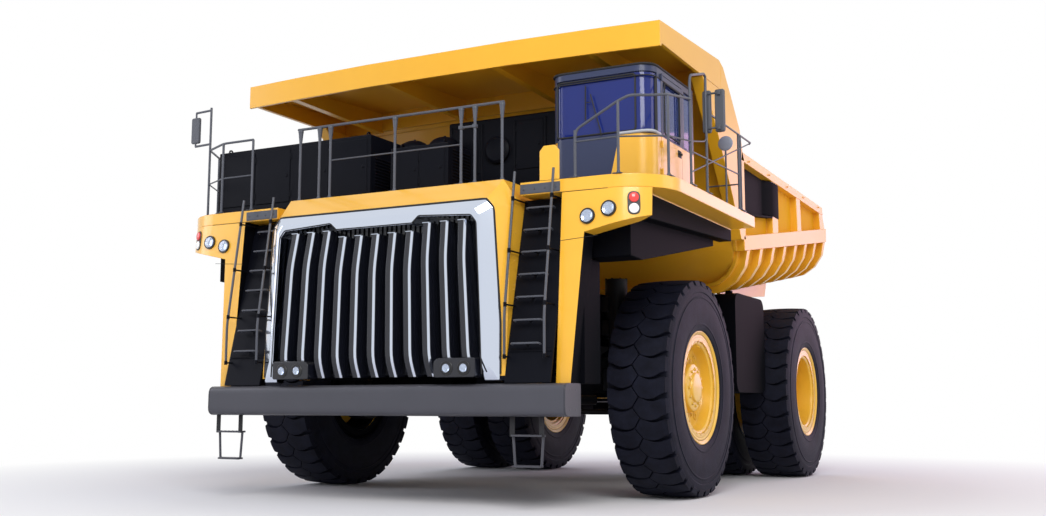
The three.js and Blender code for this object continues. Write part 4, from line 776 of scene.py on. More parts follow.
right_rail = bmesh.new()
CORNER_POSTS = ((-2.49, -5.0), (-3.06, -5.0), (-3.56, -4.75), (-RAIL_X, -4.25))
for (x, y), head in zip(CORNER_POSTS + ((-RAIL_X, -2.75), (-RAIL_X, -1.25)),
        (5.15, 5.15, 5.82, 5.15, 5.15, 5.15)):
    add_post(right_rail, x, y, DECK_TOP, head)
for z, radius in ((5.15, 0.017), (4.62, 0.011)):
    add_tube(right_rail, [(x, y, z) for x, y in CORNER_POSTS + ((-RAIL_X, -1.25),)], radius)
for z in (5.78, 5.25):
    add_tube(right_rail, [(-3.56, -4.75, z), (-3.89, -4.72, z)], 0.017, 0.05)
add_bar(right_rail, (-3.89, -4.72, 5.25), (-3.89, -4.72, 5.78), 0.014, segments=16)
close_piece("right_rail", right_rail, rail_grey, "handrail_right")

mirror_shell = new_material("moulded_mirror_shell", "black_plastic", base="#44474f", roughness=0.5)
mirror_silver = new_material("silvered_glass", "mirror_glass", base="#dfe4ea", metallic=1.0, roughness=0.03)
disc_grey = new_material("pressed_mirror_back", "black_plastic", base="#7d8290", roughness=0.4)
shells, silver, disc = bmesh.new(), bmesh.new(), bmesh.new()
LIP = 0.016                    # of the shell round its glass
for x0, x1, y0, y1, z0, z1 in ((3.77, 3.89, -3.178, -3.112, 4.935, 5.525),
        (3.945, 4.08, -3.178, -3.112, 4.935, 5.525), (-3.975, -3.805, -4.738, -4.692, 5.295, 5.705)):
    add_plate(shells, [rounded(rectangle(x0, z0, x1, z1), 0.035, 5, True)], (y0, y1), FACING_FRONT, 0.018)
    face = rounded(rectangle(x0 + LIP, z0 + LIP, x1 - LIP, z1 - LIP), 0.025, 5, True)
    add_plate(silver, [face], (y1 - 0.004, y1 + 0.001), FACING_FRONT, 0.001)
for z in (5.47, 4.99):
    add_bar(shells, (3.81, -3.185, z), (4.02, -3.185, z), 0.014, segments=16)
    for x in (3.83, 4.01):
        add_block(shells, (x - 0.022, -3.215, z - 0.03), (x + 0.022, -3.168, z + 0.03), 0.006)
DISC_AT = (RAIL_X, -2.375, 4.96)
add_turned(disc, [(0, 0.0), (0.08, 0.002), (0.104, 0.012), (0.108, 0.024), (0.104, 0.036), (0.094, 0.04),
    (0, 0.04)], DISC_AT, (0, 1, 0), 40)
add_turned(silver, [(0.0, 0.0405), (0.09, 0.0405), (0.09, 0.036), (0.0, 0.036)], DISC_AT, (0, 1, 0), 40)
close_piece("mirror_disc", disc, disc_grey)
close_piece("mirror_shells", shells, mirror_shell)
close_piece("mirror_faces", silver, mirror_silver)

# ---- cabinets on the deck --------------------------------------------------------------------
# Folded steel boxes in satin black for the electrics and brake grids: lift-off doors on pin hinges
# with flush latches, pressed louvres in the sides, and lifting eyes on the roof.


def add_door(bm, x0, x1, z0, z1, y):
    """a lift-off door on a front face: plate, two hinges and a latch"""
    add_plate(bm, [rounded(rectangle(x0, z0, x1, z1), 0.02, 3, True)], (y - 0.012, y + 0.004), FACING_FRONT,
        0.004)
    for z in (z0 + 0.12, z1 - 0.12):
        add_bar(bm, (x0 - 0.008, y - 0.012, z - 0.045), (x0 - 0.008, y - 0.012, z + 0.045), 0.011,
            segments=14)
    add_turned(bm, [(0, 0.01), (0.02, 0.009), (0.024, 0.0), (0, 0)], (x1 - 0.06, y - 0.012, (z0 + z1) / 2),
        (0, -1, 0), 20)


def add_louvres(bm, x, side, y0, y1, z0, count, pitch=0.045):
    """a bank of pressed louvres on a side face"""
    for i in range(count):
        z = z0 + i * pitch
        add_sweep(bm, [[(x - side * 0.002, y, z), (x + side * 0.014, y, z),
            (x - side * 0.002, y, z + 0.024)] for y in (y0, y1)])


for node, doors in (("control_cabinet", ((-3.44, -2.79), (-2.76, -2.12), (-2.09, -1.42), (-1.39, -0.74))),
        ("brake_cabinet", ((-0.31, 0.1), (0.13, 0.52)))):
    low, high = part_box(node)
    body = frame_copy(node, bevel=0.012)
    for x0, x1 in doors:
        add_door(body, x0, x1, low.z + 0.1, high.z - 0.06, low.y)
    for side, x in ((1, high.x), (-1, low.x)):
        for y0 in (low.y + 0.12, (low.y + high.y) / 2 + 0.04):
            add_louvres(body, x, side, y0, y0 + (high.y - low.y) * 0.34, low.z + 0.22, 10)
    for x in (low.x + 0.12, high.x - 0.12):
        for y in (low.y + 0.12, high.y - 0.12):
            add_turned(body, [(0.024, -0.009), (0.042, -0.009), (0.042, 0.009), (0.024, 0.009)],
                (x, y, high.z + 0.028), (1, 0, 0), 20, closed=True)
    close_piece(f"{node}_steel", body, black_enamel, node)

low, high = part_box("rear_cabinet")
grids = frame_copy("rear_cabinet", bevel=0.03)
for i, x in enumerate((low.x + 0.06, low.x + 0.6, low.x + 1.16, low.x + 1.68)):
    add_bar(grids, (x, low.y - 0.008, low.z + 0.5), (x, low.y - 0.008, high.z - 0.08), 0.014, segments=12)
for x0, x1 in ((low.x + 0.1, low.x + 0.56), (low.x + 1.2, low.x + 1.64)):
    add_door(grids, x0, x1, low.z + 0.62, high.z - 0.1, low.y)
add_turned(grids, [(0, 0.0), (0.21, 0.0), (0.21, 0.05), (0.17, 0.075), (0.12, 0.06), (0, 0.05)],
    (low.x + 0.88, low.y, low.z + 0.95), (0, -1, 0), 40)
for side, x in ((1, high.x), (-1, low.x)):
    add_louvres(grids, x, side, low.y + 0.15, high.y - 0.15, low.z + 0.5, 16)
close_piece("rear_cabinet_steel", grids, black_enamel, "rear_cabinet")

# ---- air intakes -----------------------------------------------------------------------------
# Two spun steel mushroom caps on short stacks over one sheet duct, clamped with band clips.

duct_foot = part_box("air_intakes")[0].z
INTAKE_Y = -3.15
intakes = bmesh.new()
add_block(intakes, (-0.96, -3.34, duct_foot), (-0.26, -2.96, 4.5), 0.03)
for x in (-0.88, -0.335):
    add_turned(intakes, [(0, 4.48), (0.105, 4.48), (0.105, 5.02), (0.113, 5.03), (0.113, 5.06),
        (0.105, 5.07), (0.105, 5.13), (0.222, 5.135), (0.24, 5.15), (0.245, 5.18), (0.24, 5.215),
        (0.222, 5.25), (0.18, 5.29), (0.12, 5.32), (0.06, 5.337), (0.02, 5.34), (0.018, 5.36), (0, 5.362)],
        (x, INTAKE_Y, 0), (0, 0, 1), 48)
    add_block(intakes, (x - 0.015, -3.28, 5.03), (x + 0.015, -3.255, 5.06), 0.004)
    for turn in turns(4, 0.5):
        add_bar(intakes, (x + 0.1 * math.cos(turn), INTAKE_Y + 0.1 * math.sin(turn), 5.08),
            (x + 0.2 * math.cos(turn), INTAKE_Y + 0.2 * math.sin(turn), 5.14), 0.008, segments=10)
close_piece("intake_caps", intakes, black_enamel, "air_intakes")

# ---- engine ----------------------------------------------------------------------------------
# The cast block and its radiator core, seen only from below and from the sides. Matt black
# enamel, sprayed in place over the castings and bolted to the rails.

refinish("engine_casting", "engine_block", core_black, bevel=0.03)

# ---- cab -------------------------------------------------------------------------------------
# The operator's cab: a welded shell with round corners, yellow below the sill, a dark grey roof
# band and pillars, bonded glass in black rubber, and one hinged door on its outer side.

cab_grey = enamel("dark_cab_enamel", "bumper_grey", "#313956", "#2b3350", coat=0.15, roughness=0.4,
    specular=0.3)
glass_blue = new_material("tinted_laminated_glass", "tinted_glass", base="#20348c", roughness=0.04,
    specular=0.3, transmission_weight=0.45, ior=1.45, coat_weight=0.1)
glass_light = new_material("light_tinted_glass", "tinted_glass", base="#3c54a4", roughness=0.04,
    specular=0.08, transmission_weight=0.6, ior=1.45)
corner_glass = new_material("bent_corner_glass", "tinted_glass", base="#33498c", roughness=0.12,
    specular=0.4)
CAB_LOW, CAB_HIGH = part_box("cab_shell")
SILL, HEAD, SILL_SEAM = 4.87, 5.63, 4.845


def cut(bm, point, normal=(0, 0, 1)):
    """scores a bmesh along a plane, so that its faces can take different finishes"""
    bmesh.ops.bisect_plane(bm, geom=bm.verts[:] + bm.edges[:] + bm.faces[:], plane_co=point,
        plane_no=normal)


CAB_CORNER = 0.23


def depth_inside(at):
    """how far a point lies inside the cab's round-cornered plan"""
    out_x = max(CAB_LOW.x + CAB_CORNER - at.x, at.x - CAB_HIGH.x + CAB_CORNER, 0)
    out_y = max(CAB_LOW.y + CAB_CORNER - at.y, at.y - CAB_HIGH.y + CAB_CORNER, 0)
    return CAB_CORNER - math.hypot(out_x, out_y)


shell = frame_copy("cab_shell")
PANEL_SPLIT = ((2.84, 0, 4.71), Vector((1, 0, -0.23)).normalized())
for z in (HEAD, SILL_SEAM, 4.8):
    cut(shell, (0, 0, z))
cut(shell, *PANEL_SPLIT)
for face in shell.faces:
    at = face.calc_center_median()
    front = at.y < CAB_LOW.y + 0.05 and (at - Vector(PANEL_SPLIT[0])).dot(PANEL_SPLIT[1]) < 0
    inside = depth_inside(at) > 0.025
    lining = inside and face.normal.z < 0.5 and at.z < 5.7
    face.material_index = int(at.z > SILL_SEAM or (front and at.z < SILL_SEAM) or lining)
    if at.x > 3.09 and at.y < -3.64 and SILL < at.z < HEAD and not inside:
        face.material_index = 2
close_piece("cab_steel", shell, (yellow_enamel, cab_grey, corner_glass), "cab_shell", outward=False)

sill_strip = enamel("pale_sill_strip", "rail_grey", "#b9bcc2", "#b0b3ba", coat=0.2, roughness=0.35)
strip, gaskets = bmesh.new(), bmesh.new()
path = rounded([(2.86, CAB_LOW.y, 0), (CAB_HIGH.x, CAB_LOW.y, 0), (CAB_HIGH.x, -3.66, 0)], 0.225, 8)
add_tube(strip, [(point.x, point.y, 4.868) for point in path], 0.022, 0.0)
close_piece("sill_strip", strip, sill_strip)
for z in (HEAD, 5.79):
    ring_path = rounded([(x, y, z) for x, y in rectangle(CAB_LOW.x, CAB_LOW.y, CAB_HIGH.x, CAB_HIGH.y)],
        CAB_CORNER, 8, True)
    add_tube(gaskets, ring_path, 0.01 if z < 5.7 else 0.016, 0.0, closed=True, fine=2)
HINGE_Y = -3.612


def frame_round(bm, points, radius, corner=0.05):
    """a rubber gasket laid round an opening"""
    add_tube(bm, rounded(points, corner, 5, True), radius, 0.0, closed=True, fine=2)


low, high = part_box("windscreen")
opening = rectangle(low.x + 0.02, low.z + 0.02, 3.1, high.z - 0.02)
frame_round(gaskets, [(x, low.y - 0.002, z) for x, z in opening], 0.014)
add_bar(gaskets, (CAB_HIGH.x - 0.018, -3.76, SILL), (CAB_HIGH.x - 0.018, -3.76, HEAD), 0.024, segments=16)
add_tube(gaskets, [(2.62, CAB_LOW.y - 0.026, 4.86), (2.62, CAB_LOW.y - 0.03, 4.91),
    (2.47, CAB_LOW.y - 0.03, 5.45)], 0.009, 0.02)
add_block(gaskets, (2.385, CAB_LOW.y - 0.026, 5.1), (2.4, CAB_LOW.y - 0.01, 5.58), 0.003)
add_bar(gaskets, (2.47, CAB_LOW.y - 0.028, 5.34), (2.39, CAB_LOW.y - 0.022, 5.34), 0.006, segments=10)
close_piece("cab_gaskets", gaskets, trim_rubber)

for node, material in (("windscreen", glass_blue), ("side_glass_right", glass_light),
        ("side_glass_left", glass_light)):
    refinish(f"{node}_pane", node, material, smooth=50)

door = frame_copy("cab_door", bevel=0.008)
cut(door, (0, 0, SILL_SEAM))
for z in (4.36, 4.74, 5.66):
    add_bar(door, (CAB_HIGH.x + 0.018, HINGE_Y, z - 0.05), (CAB_HIGH.x + 0.018, HINGE_Y, z + 0.05), 0.012,
        segments=16)
    add_block(door, (CAB_HIGH.x - 0.004, HINGE_Y + 0.002, z - 0.035),
        (CAB_HIGH.x + 0.008, HINGE_Y + 0.082, z + 0.035), 0.003)
add_plate(door, [rounded(rectangle(-3.55, 4.29, -2.86, 4.78), 0.05, 4, True)],
    (CAB_HIGH.x - 0.004, CAB_HIGH.x + 0.006), FACING_SIDE, 0.003)
for face in door.faces:
    face.material_index = int(face.calc_center_median().z > SILL_SEAM)
close_piece("cab_door_steel", door, (yellow_enamel, cab_grey), "cab_door", body="cab_door")
fittings = bmesh.new()
frame_round(fittings, [(CAB_HIGH.x + 0.012, y, z) for y, z in rectangle(-3.5, 4.9, -2.91, 5.61)], 0.012)
add_tube(fittings, [(CAB_HIGH.x, -2.97, 4.74), (CAB_HIGH.x + 0.03, -2.97, 4.74),
    (CAB_HIGH.x + 0.03, -2.86, 4.74), (CAB_HIGH.x, -2.86, 4.74)], 0.01, 0.02)
add_plate(fittings, [rounded(rectangle(-2.99, 4.69, -2.84, 4.79), 0.02, 4, True)],
    (CAB_HIGH.x, CAB_HIGH.x + 0.01), FACING_SIDE, 0.003)
close_piece("door_fittings", fittings, trim_rubber, body="cab_door")
refinish("door_pane", "door_glass", glass_light, body="cab_door")

# ---- operator's seat and console -------------------------------------------------------------
# A suspension seat: crowned foam cushion, back and headrest in woven cloth with piped seams, on a
# moulded base; ahead of it a grained dash, its column and a rimmed steering wheel.

seat_cloth = new_material("woven_seat_cloth", "seat_cloth", roughness=0.85, sheen_weight=0.35,
    sheen_roughness=0.5)
place = add_node(seat_cloth, "TexCoord", {}).outputs["Object"]
# threads 6 mm apart, coarser than the real 1 mm so that the weave shows
warp = add_node(seat_cloth, "TexWave", {"Vector": place, "Scale": 26.0, "Distortion": 0.6},
    bands_direction="X")
weft = add_node(seat_cloth, "TexWave", {"Vector": place, "Scale": 26.0, "Distortion": 0.6},
    bands_direction="Y")
weave = add_node(seat_cloth, "Math", {0: warp.outputs["Fac"], 1: weft.outputs["Fac"]}, operation="MULTIPLY")
threads = add_node(seat_cloth, "Mix", {0: weave.outputs[0], 6: colour("#202228"), 7: colour("#3a3d45")},
    data_type="RGBA")
nap = add_node(seat_cloth, "Bump", {"Height": weave.outputs[0], "Strength": 0.35, "Distance": 0.002})
dress(seat_cloth, threads, nap)
dash_plastic = enamel("grained_dash_plastic", "black_plastic", "#24262b", "#1d1f23", coat=0.0,
    roughness=0.6)


def foam_pad(name, low, high, thin, seams):
    """a stuffed pad: crowned faces, sides pulled in between the corners, sewn channels across it"""
    bm = bmesh.new()
    low, high = Vector(low), Vector(high)
    bmesh.ops.create_cube(bm, size=2)
    bmesh.ops.subdivide_edges(bm, edges=bm.edges[:], cuts=15, use_grid_fill=True)
    half, middle = (high - low) / 2, (low + high) / 2
    across, along = [axis for axis in range(3) if axis != thin]
    for vert in bm.verts:
        u, v, w = vert.co[across], vert.co[along], vert.co[thin]
        rim = max(abs(u), abs(v))
        crown = 1 - 0.52 * rim ** 6 - 0.1 * (u * u + v * v) / 2
        channel = sum(0.16 * math.exp(-((v - seam) / 0.06) ** 2) for seam in seams)
        pull_u, pull_v = 1 - 0.045 * (1 - v * v), 1 - 0.045 * (1 - u * u)
        spread = 1 - 0.05 * w * w
        place = [0, 0, 0]
        place[across], place[along] = u * pull_u * spread, v * pull_v * spread
        place[thin] = w * (crown - channel * (1 - rim ** 8))
        vert.co = [middle[axis] + half[axis] * place[axis] for axis in range(3)]
    bmesh.ops.smooth_vert(bm, verts=bm.verts, factor=0.5, use_axis_x=True, use_axis_y=True, use_axis_z=True)
    pad = close_piece(name, bm, seat_cloth, "operator_seat", smooth=180)


foam_pad("seat_cushion", (2.335, -3.115, 4.455), (2.845, -2.585, 4.598), 2, (-0.4, 0.1, 0.55))
foam_pad("seat_back", (2.345, -2.685, 4.6), (2.835, -2.555, 5.205), 1, (-0.45, 0.0, 0.45))
foam_pad("seat_headrest", (2.455, -2.675, 5.22), (2.725, -2.565, 5.395), 1, ())
base = bmesh.new()
add_block(base, (2.37, -3.07, 4.18), (2.81, -2.63, 4.24), 0.02)
for i in range(4):
    add_block(base, (2.41 + 0.006 * i, -3.03, 4.235 + 0.05 * i),
        (2.77 - 0.006 * i, -2.67, 4.275 + 0.05 * i), 0.016)
add_block(base, (2.36, -3.09, 4.43), (2.82, -2.61, 4.462), 0.012)
for x in (2.5, 2.68):
    add_bar(base, (x, -2.62, 5.19), (x, -2.62, 5.25), 0.008, segments=12)
add_block(base, (2.36, -2.575, 4.5), (2.82, -2.545, 5.15), 0.02)
close_piece("seat_base", base, dash_plastic, "operator_seat")

low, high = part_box("steering_console")
dash = bmesh.new()
WHEEL_AT = Vector((2.59, -3.31, 4.9))
outline = rounded([(-3.86, 4.19), (-3.58, 4.19), (-3.6, 4.62), (-3.56, 4.7), (-3.6, 4.8), (-3.86, 4.82)],
    0.04, 4, True)
add_plate(dash, [outline], (2.085, 3.055), FACING_SIDE, 0.012)
add_bar(dash, (2.59, -3.64, 4.56), (2.59, -3.345, 4.875), 0.04, 0.034, 28)
tilt = Vector((0, 0.45, 0.89)).normalized()
add_turned(dash, [(0.184 + 0.014 * math.cos(a), 0.014 * math.sin(a)) for a in turns(12)], WHEEL_AT, tilt,
    48, closed=True)
add_turned(dash, [(0, 0.012), (0.045, 0.008), (0.055, -0.02), (0, -0.03)], WHEEL_AT, tilt, 28)
across = Vector((1, 0, 0))
down = tilt.cross(across)
for turn in (math.pi / 2, math.pi * 7 / 6, math.pi * 11 / 6):
    spoke = across * math.cos(turn) + down * math.sin(turn)
    add_bar(dash, WHEEL_AT + spoke * 0.03, WHEEL_AT + spoke * 0.18, 0.013, 0.01, 16)
close_piece("dash_and_wheel", dash, dash_plastic, "steering_console")

# ---- bed -------------------------------------------------------------------------------------
# The dump body: thick welded plate with rounded floor ribs, box-section top and lower rails,
# tapered side posts, and a canopy swept forward over the cab. Its inside is worn to bare steel.

bed_enamel = enamel("body_enamel", "yellow_paint", "#f0b428", "#e8a81c", dust="#9c8c74", dust_share=0.12,
    coat=0.25, roughness=0.38)
worn_steel = new_material("scoured_steel_plate", "yellow_paint", roughness=0.5, metallic=0.0)
place = add_node(worn_steel, "TexCoord", {}).outputs["Object"]
scrape = add_node(worn_steel, "Mapping", {"Vector": place, "Scale": (5.0, 0.6, 2.0)})
gouges = add_node(worn_steel, "TexNoise", {"Vector": scrape.outputs[0], "Scale": 2.2, "Detail": 10.0,
    "Roughness": 0.72})
bare = add_node(worn_steel, "MapRange", {0: gouges.outputs["Fac"], 1: 0.52, 2: 0.66})
plate_tone = add_node(worn_steel, "Mix", {0: bare.outputs[0], 6: colour("#d9961f"), 7: colour("#8d8073")},
    data_type="RGBA")
dents = add_node(worn_steel, "Bump", {"Height": gouges.outputs["Fac"], "Strength": 0.3, "Distance": 0.01})
dress(worn_steel, plate_tone, dents)

# the plate between the posts: a matt, slightly darker copy of the body enamel, as painted shade
shaded_enamel = enamel("recess_shade_enamel", "yellow_paint", "#efb122", "#e6a61a", dust="#9c8c74",
    dust_share=0.2, coat=0.0, roughness=0.7, specular=0.08)
SIDE_PLATE, SIDE_OUT, WALL = 3.35, 3.48, 0.06


def rail_z(y, up=0.0):
    """the lower rail's foot, which rises to the tail"""
    return 3.69 + (y + 0.33) * 0.1513 + up


def wear_and_recess_shade(bm):
    """gives scoured steel to the faces that the load slides on, and painted shade to the plate between the
    posts
    """
    bmesh.ops.recalc_face_normals(bm, faces=bm.faces)
    for face in bm.faces:
        at, normal = face.calc_center_median(), face.normal
        within = abs(at.x) < 3.4 and at.y > -0.4
        inwards = abs(normal.x) > 0.8 and at.x * normal.x < 0
        face.material_index = int(within and (normal.z > 0.25 or inwards))
        # the plate between the posts takes the matt copy of the enamel: painted shade of the recesses
        if abs(abs(at.x) - SIDE_PLATE) < 0.002 and at.x * normal.x > 0 and -0.2 < at.y:
            face.material_index = 2


bed_floor = frame_copy("bed_floor", bevel=0.012)
wear_and_recess_shade(bed_floor)
close_piece("bed_floor_plate", bed_floor, (bed_enamel, worn_steel), "bed_floor", body="bed", outward=False,
    smooth=46)
refinish("bed_canopy_plate", "bed_canopy", bed_enamel, 0.012, "bed", smooth=28)

SIDE_WALL = [(-0.33, 3.691), (5.43, 4.562), (5.16, 5.23), (-0.36, 5.28), (-0.6, 5.58), (-1.07, 6.27),
    (-1.38, 6.27), (-1.38, 6.0)]
CHEEK = [(-0.49, 3.85), (-0.25, 3.87), (-0.25, 5.18), (-0.3, 5.26), (-0.44, 5.61), (-0.88, 6.07),
    (-1.24, 6.42), (-1.384, 6.466), (-1.384, 6.028), (-2.24, 6.028), (-1.56, 5.29), (-0.88, 4.44)]
TOP_RAIL = [(-0.4, 5.13), (-0.36, 5.28), (5.16, 5.23), (5.215, 5.08)]
LOWER_RAIL = [(-0.33, 3.691), (5.43, 4.562), (5.46, 4.841), (-0.35, 3.927)]
POSTS = [((1.42, 1.78), (1.42, 1.78)), ((3.14, 3.44), (3.1, 3.4)), ((5.0, 5.42), (4.9, 5.19))]
for name, side in SIDES:
    wall = bmesh.new()
    for outline, inner, outer in ((SIDE_WALL, SIDE_PLATE - WALL, SIDE_PLATE),
            (CHEEK, SIDE_PLATE - WALL + 0.001, SIDE_OUT), (TOP_RAIL, SIDE_PLATE - WALL + 0.001, SIDE_OUT),
            (LOWER_RAIL, SIDE_PLATE - 0.02, SIDE_OUT)):
        add_plate(wall, [outline], sorted((side * inner, side * outer)), FACING_SIDE, 0.012)
    for (foot_front, foot_rear), (head_front, head_rear) in POSTS:
        post = [(foot_front, rail_z(foot_front, 0.2)), (foot_rear, rail_z(foot_rear, 0.2)),
            (head_rear, 5.15), (head_front, 5.15)]
        add_plate(wall, [post], sorted((side * (SIDE_PLATE - 0.02), side * (SIDE_OUT - 0.012))),
            FACING_SIDE, 0.012)
    wear_and_recess_shade(wall)
    close_piece(f"bed_side_{name}_plate", wall, (bed_enamel, worn_steel, shaded_enamel), f"bed_side_{name}",
        body="bed", outward=False, smooth=28)

body_fit, blank = bmesh.new(), bmesh.new()
for side in (1, -1):
    for i in range(5):
        add_bolts(body_fit, [(side * 3.492, 1.2 * i, 5.18)], (side, 0, 0), 0.014)
add_plate(blank, [[(-0.26, 4.3), (1.43, 4.5), (1.43, 5.1), (-0.26, 5.12)]], (3.338, 3.362), FACING_SIDE,
    0.004)
add_plate(blank, [[(3.34, 1.08), (3.478, 1.42), (3.478, 1.79), (3.34, 1.79)]], (4.5, 5.1), FACING_UP, 0.004)
add_plate(blank, [[(-0.26, 4.27), (1.43, 4.47), (1.43, 4.5), (-0.26, 4.3)]], (3.338, 3.47), FACING_SIDE,
    0.004)
close_piece("body_side_panel", blank, underbody_black, body="bed")
close_piece("body_bolts", body_fit, bed_enamel, body="bed")

# ---- hoists ----------------------------------------------------------------------------------
# Two telescopic hoist cylinders between the rails and the floor: black enamelled barrels with a
# bolted gland, and ground chromed rods, each on a pinned eye.

hard_chrome = new_material("ground_chrome_rod", "bare_steel", base="#c9ccd2", metallic=1.0, roughness=0.16)


def add_eye(bm, at, radius, half, inset, slope):
    """a bored eye on its pin, with its rims turned off"""
    add_turned(bm, [(0.062, -half), (radius - inset, -half), (radius, slope - half), (radius, half - slope),
        (radius - inset, half), (0.062, half)], at, (1, 0, 0), 40, closed=True)


FOOT, EYE = Vector((1.2, -0.05, 1.35)), Vector((1.2, 2.05, 3.0))
for name, side in SIDES:
    foot, eye = Vector((side * FOOT.x, FOOT.y, FOOT.z)), Vector((side * EYE.x, EYE.y, EYE.z))
    way = (eye - foot).normalized()
    reach = (eye - foot).length
    barrel, rod = bmesh.new(), bmesh.new()
    top = (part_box(f"hoist_barrel_{name}")[1].z - foot.z) / way.z - 0.128 * math.sqrt(1 - way.z ** 2) / way.z
    add_turned(barrel, [(0, 0.1), (0.1, 0.1), (0.126, 0.14), (0.126, top - 0.13), (0.128, top - 0.12),
        (0.128, top - 0.01), (0.12, top), (0.083, top), (0.083, 0.2), (0, 0.2)], foot, way, 48)
    add_eye(barrel, foot, 0.128, 0.075, 0.01, 0.013)
    side_way = Vector((1, 0, 0))
    up_way = way.cross(side_way)
    add_bolts(barrel, [foot + way * (top - 0.002) + (side_way * math.cos(a) + up_way * math.sin(a)) * 0.104
        for a in turns(12)], way, 0.009)
    add_bar(rod, foot + way * 0.42, eye - way * 0.08, 0.078, segments=48)
    add_eye(rod, eye, 0.12, 0.065, 0.008, 0.01)
    close_piece(f"hoist_barrel_steel_{name}", barrel, black_enamel, f"hoist_barrel_{name}",
        body=f"hoist_barrel_{name}")
    close_piece(f"hoist_rod_chrome_{name}", rod, hard_chrome, f"hoist_rod_{name}", body=f"hoist_rod_{name}")

# ---- running gear ----------------------------------------------------------------------------
# Cast axle, knuckles and strut barrels in black enamel with broken edges; the tie rod and steering
# cylinders between the knuckles have polished rods.

forged_black = enamel("cast_steel_enamel", "black_paint", "#131419", "#0c0d11", dust_share=0.2, coat=0.02,
    roughness=0.55, specular=0.2)
for node in ("rear_axle", "front_strut_left", "front_strut_right"):
    refinish(f"{node}_casting", node, forged_black, 0.006, smooth=34)
for node in ("knuckle_left", "knuckle_right", "tie_rod", "steer_barrel_left", "steer_barrel_right"):
    refinish(f"{node}_casting", node, forged_black, 0.006, node, 34)
fittings = bmesh.new()
for name, _ in SIDES:
    node = f"steer_rod_{name}"
    refinish(f"steer_rod_chrome_{name}", node, hard_chrome, 0.003, node, 34)
    low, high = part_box(f"front_strut_{name}")
    middle = (low + high) / 2
    add_bolts(fittings, [(middle.x + 0.16 * math.cos(a), middle.y + 0.16 * math.sin(a), high.z - 0.004)
        for a in turns(8)], (0, 0, 1), 0.014)
face_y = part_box("rear_axle")[0].y + 0.01
add_bolts(fittings, [(0.34 * math.cos(a), face_y, 1.53 + 0.34 * math.sin(a)) for a in turns(16)],
    (0, -1, 0), 0.016)
close_piece("strut_bolts", fittings, forged_black)

# ---- tanks -----------------------------------------------------------------------------------
# Welded fuel and hydraulic tanks hung outside the rails: black enamel, with three straps laid over
# the top of each and a turned filler cap.

for node in ("fuel_tank", "hydraulic_tank"):
    low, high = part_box(node)
    side = 1 if low.x > 0 else -1
    out = high.x if side > 0 else low.x
    tank = frame_copy(node, bevel=0.02)
    add_turned(tank, [(0, 0.05), (0.05, 0.048), (0.058, 0.04), (0.058, 0.01), (0.07, 0.008), (0.07, -0.004),
        (0, -0.004)], (out - side * 0.16, low.y + 0.2, high.z - 0.004), (0, 0, 1), 32)
    for share in (0.22, 0.5, 0.78):
        y = low.y + (high.y - low.y) * share
        add_block(tank, (out - side * 0.3, y - 0.03, high.z - 0.002),
            (out - side * 0.02, y + 0.03, high.z + 0.006), 0.002)
    close_piece(f"{node}_steel", tank, underbody_black, node)

# ---- studio ----------------------------------------------------------------------------------
# A pale seamless floor, a white surround and soft lamps, with the camera low at the front left.

scene = bpy.context.scene
floor_mesh = bmesh.new()
bmesh.ops.create_grid(floor_mesh, x_segments=1, y_segments=1, size=120)
floor_data = bpy.data.meshes.new("floor")
floor_mesh.to_mesh(floor_data)
floor_mesh.free()
floor = bpy.data.objects.new("floor", floor_data)
scene.collection.objects.link(floor)


def in_sight(owner):
    """1 for what the camera sees straight, in a mirror or through glass, and 0 for other light"""
    rays = add_node(owner, "LightPath", {}).outputs
    shiny = add_node(owner, "Math", {0: rays["Is Glossy Ray"], 1: rays["Is Transmission Ray"]},
        operation="MAXIMUM")
    return add_node(owner, "Math", {0: rays["Is Camera Ray"], 1: shiny.outputs[0]},
        operation="MAXIMUM").outputs[0]


floor_paint = bpy.data.materials.new("pale_floor")
floor_paint.use_nodes = True
shader = floor_paint.node_tree.nodes["Principled BSDF"]
shader.inputs["Base Color"].default_value = colour("#e9e8ea")
shader.inputs["Roughness"].default_value = 0.9
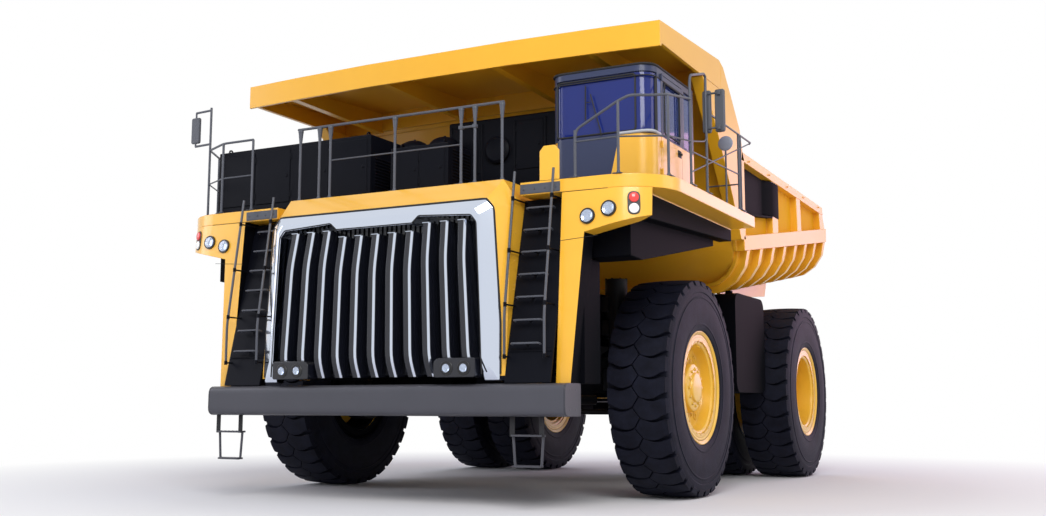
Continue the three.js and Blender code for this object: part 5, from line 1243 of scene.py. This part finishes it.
# away from the truck the floor turns to plain white, so that no horizon shows
reach = add_node(floor_paint, "VectorMath", {0: add_node(floor_paint, "TexCoord", {}).outputs["Object"]},
    operation="LENGTH")
far = add_node(floor_paint, "MapRange", {0: reach.outputs["Value"], 1: 6.5, 2: 13.0})
share = add_node(floor_paint, "Math", {0: far.outputs[0], 1: in_sight(floor_paint)}, operation="MULTIPLY")
white = add_node(floor_paint, "Emission", {"Color": (1, 1, 1, 1), "Strength": 1.0})
blend = add_node(floor_paint, "MixShader", {0: share.outputs[0]})
floor_links = floor_paint.node_tree.links
floor_links.new(shader.outputs[0], blend.inputs[1])
floor_links.new(white.outputs[0], blend.inputs[2])
floor_links.new(blend.outputs[0], floor_paint.node_tree.nodes["Material Output"].inputs["Surface"])
floor_data.materials.append(floor_paint)

world = bpy.data.worlds.new("studio")
world.use_nodes = True
scene.world = world
air = world.node_tree.nodes["Background"]
air.inputs["Color"].default_value = colour("#eef0f8")
air.inputs["Strength"].default_value = 0.55
surround = add_node(world, "Background", {"Color": (1, 1, 1, 1), "Strength": 1.0})
either = add_node(world, "MixShader", {0: in_sight(world)})
for i, shade in enumerate((air, surround), 1):
    world.node_tree.links.new(shade.outputs[0], either.inputs[i])
world.node_tree.links.new(either.outputs[0], world.node_tree.nodes["World Output"].inputs["Surface"])

LAMPS = (                      # name, place, size, watts, tint
    ("key", (9, -17, 13), 9, 2300, "#ffffff"),
    ("left_fill", (-16, -12, 8), 9, 800, "#f2f3ff"),
    ("side", (17, 1, 9), 9, 430, "#fff0ec"),
    ("side_sheen", (10, 17, 6), 8, 520, "#f4b0dc"),
    ("rear", (-6, 17, 12), 9, 700, "#e8ecff"),
)
for name, spot, size, power, tint in LAMPS:
    lamp = bpy.data.lights.new(name, "AREA")
    lamp.size, lamp.energy, lamp.color = size, power, colour(tint)[:3]
    holder = bpy.data.objects.new(name, lamp)
    scene.collection.objects.link(holder)
    holder.location = spot
    holder.rotation_euler = (Vector((0, -1, 3)) - Vector(spot)).to_track_quat("-Z", "Y").to_euler()

view = bpy.data.cameras.new("camera")
view.lens, view.sensor_width = 39.0, 36
camera = bpy.data.objects.new("camera", view)
scene.collection.objects.link(camera)
camera.location = (8.552, -17.612, 1.286)
camera.rotation_euler = (math.pi / 2 + 0.1289, 0, 0.4806)
scene.camera = camera
scene.view_settings.view_transform = "Standard"
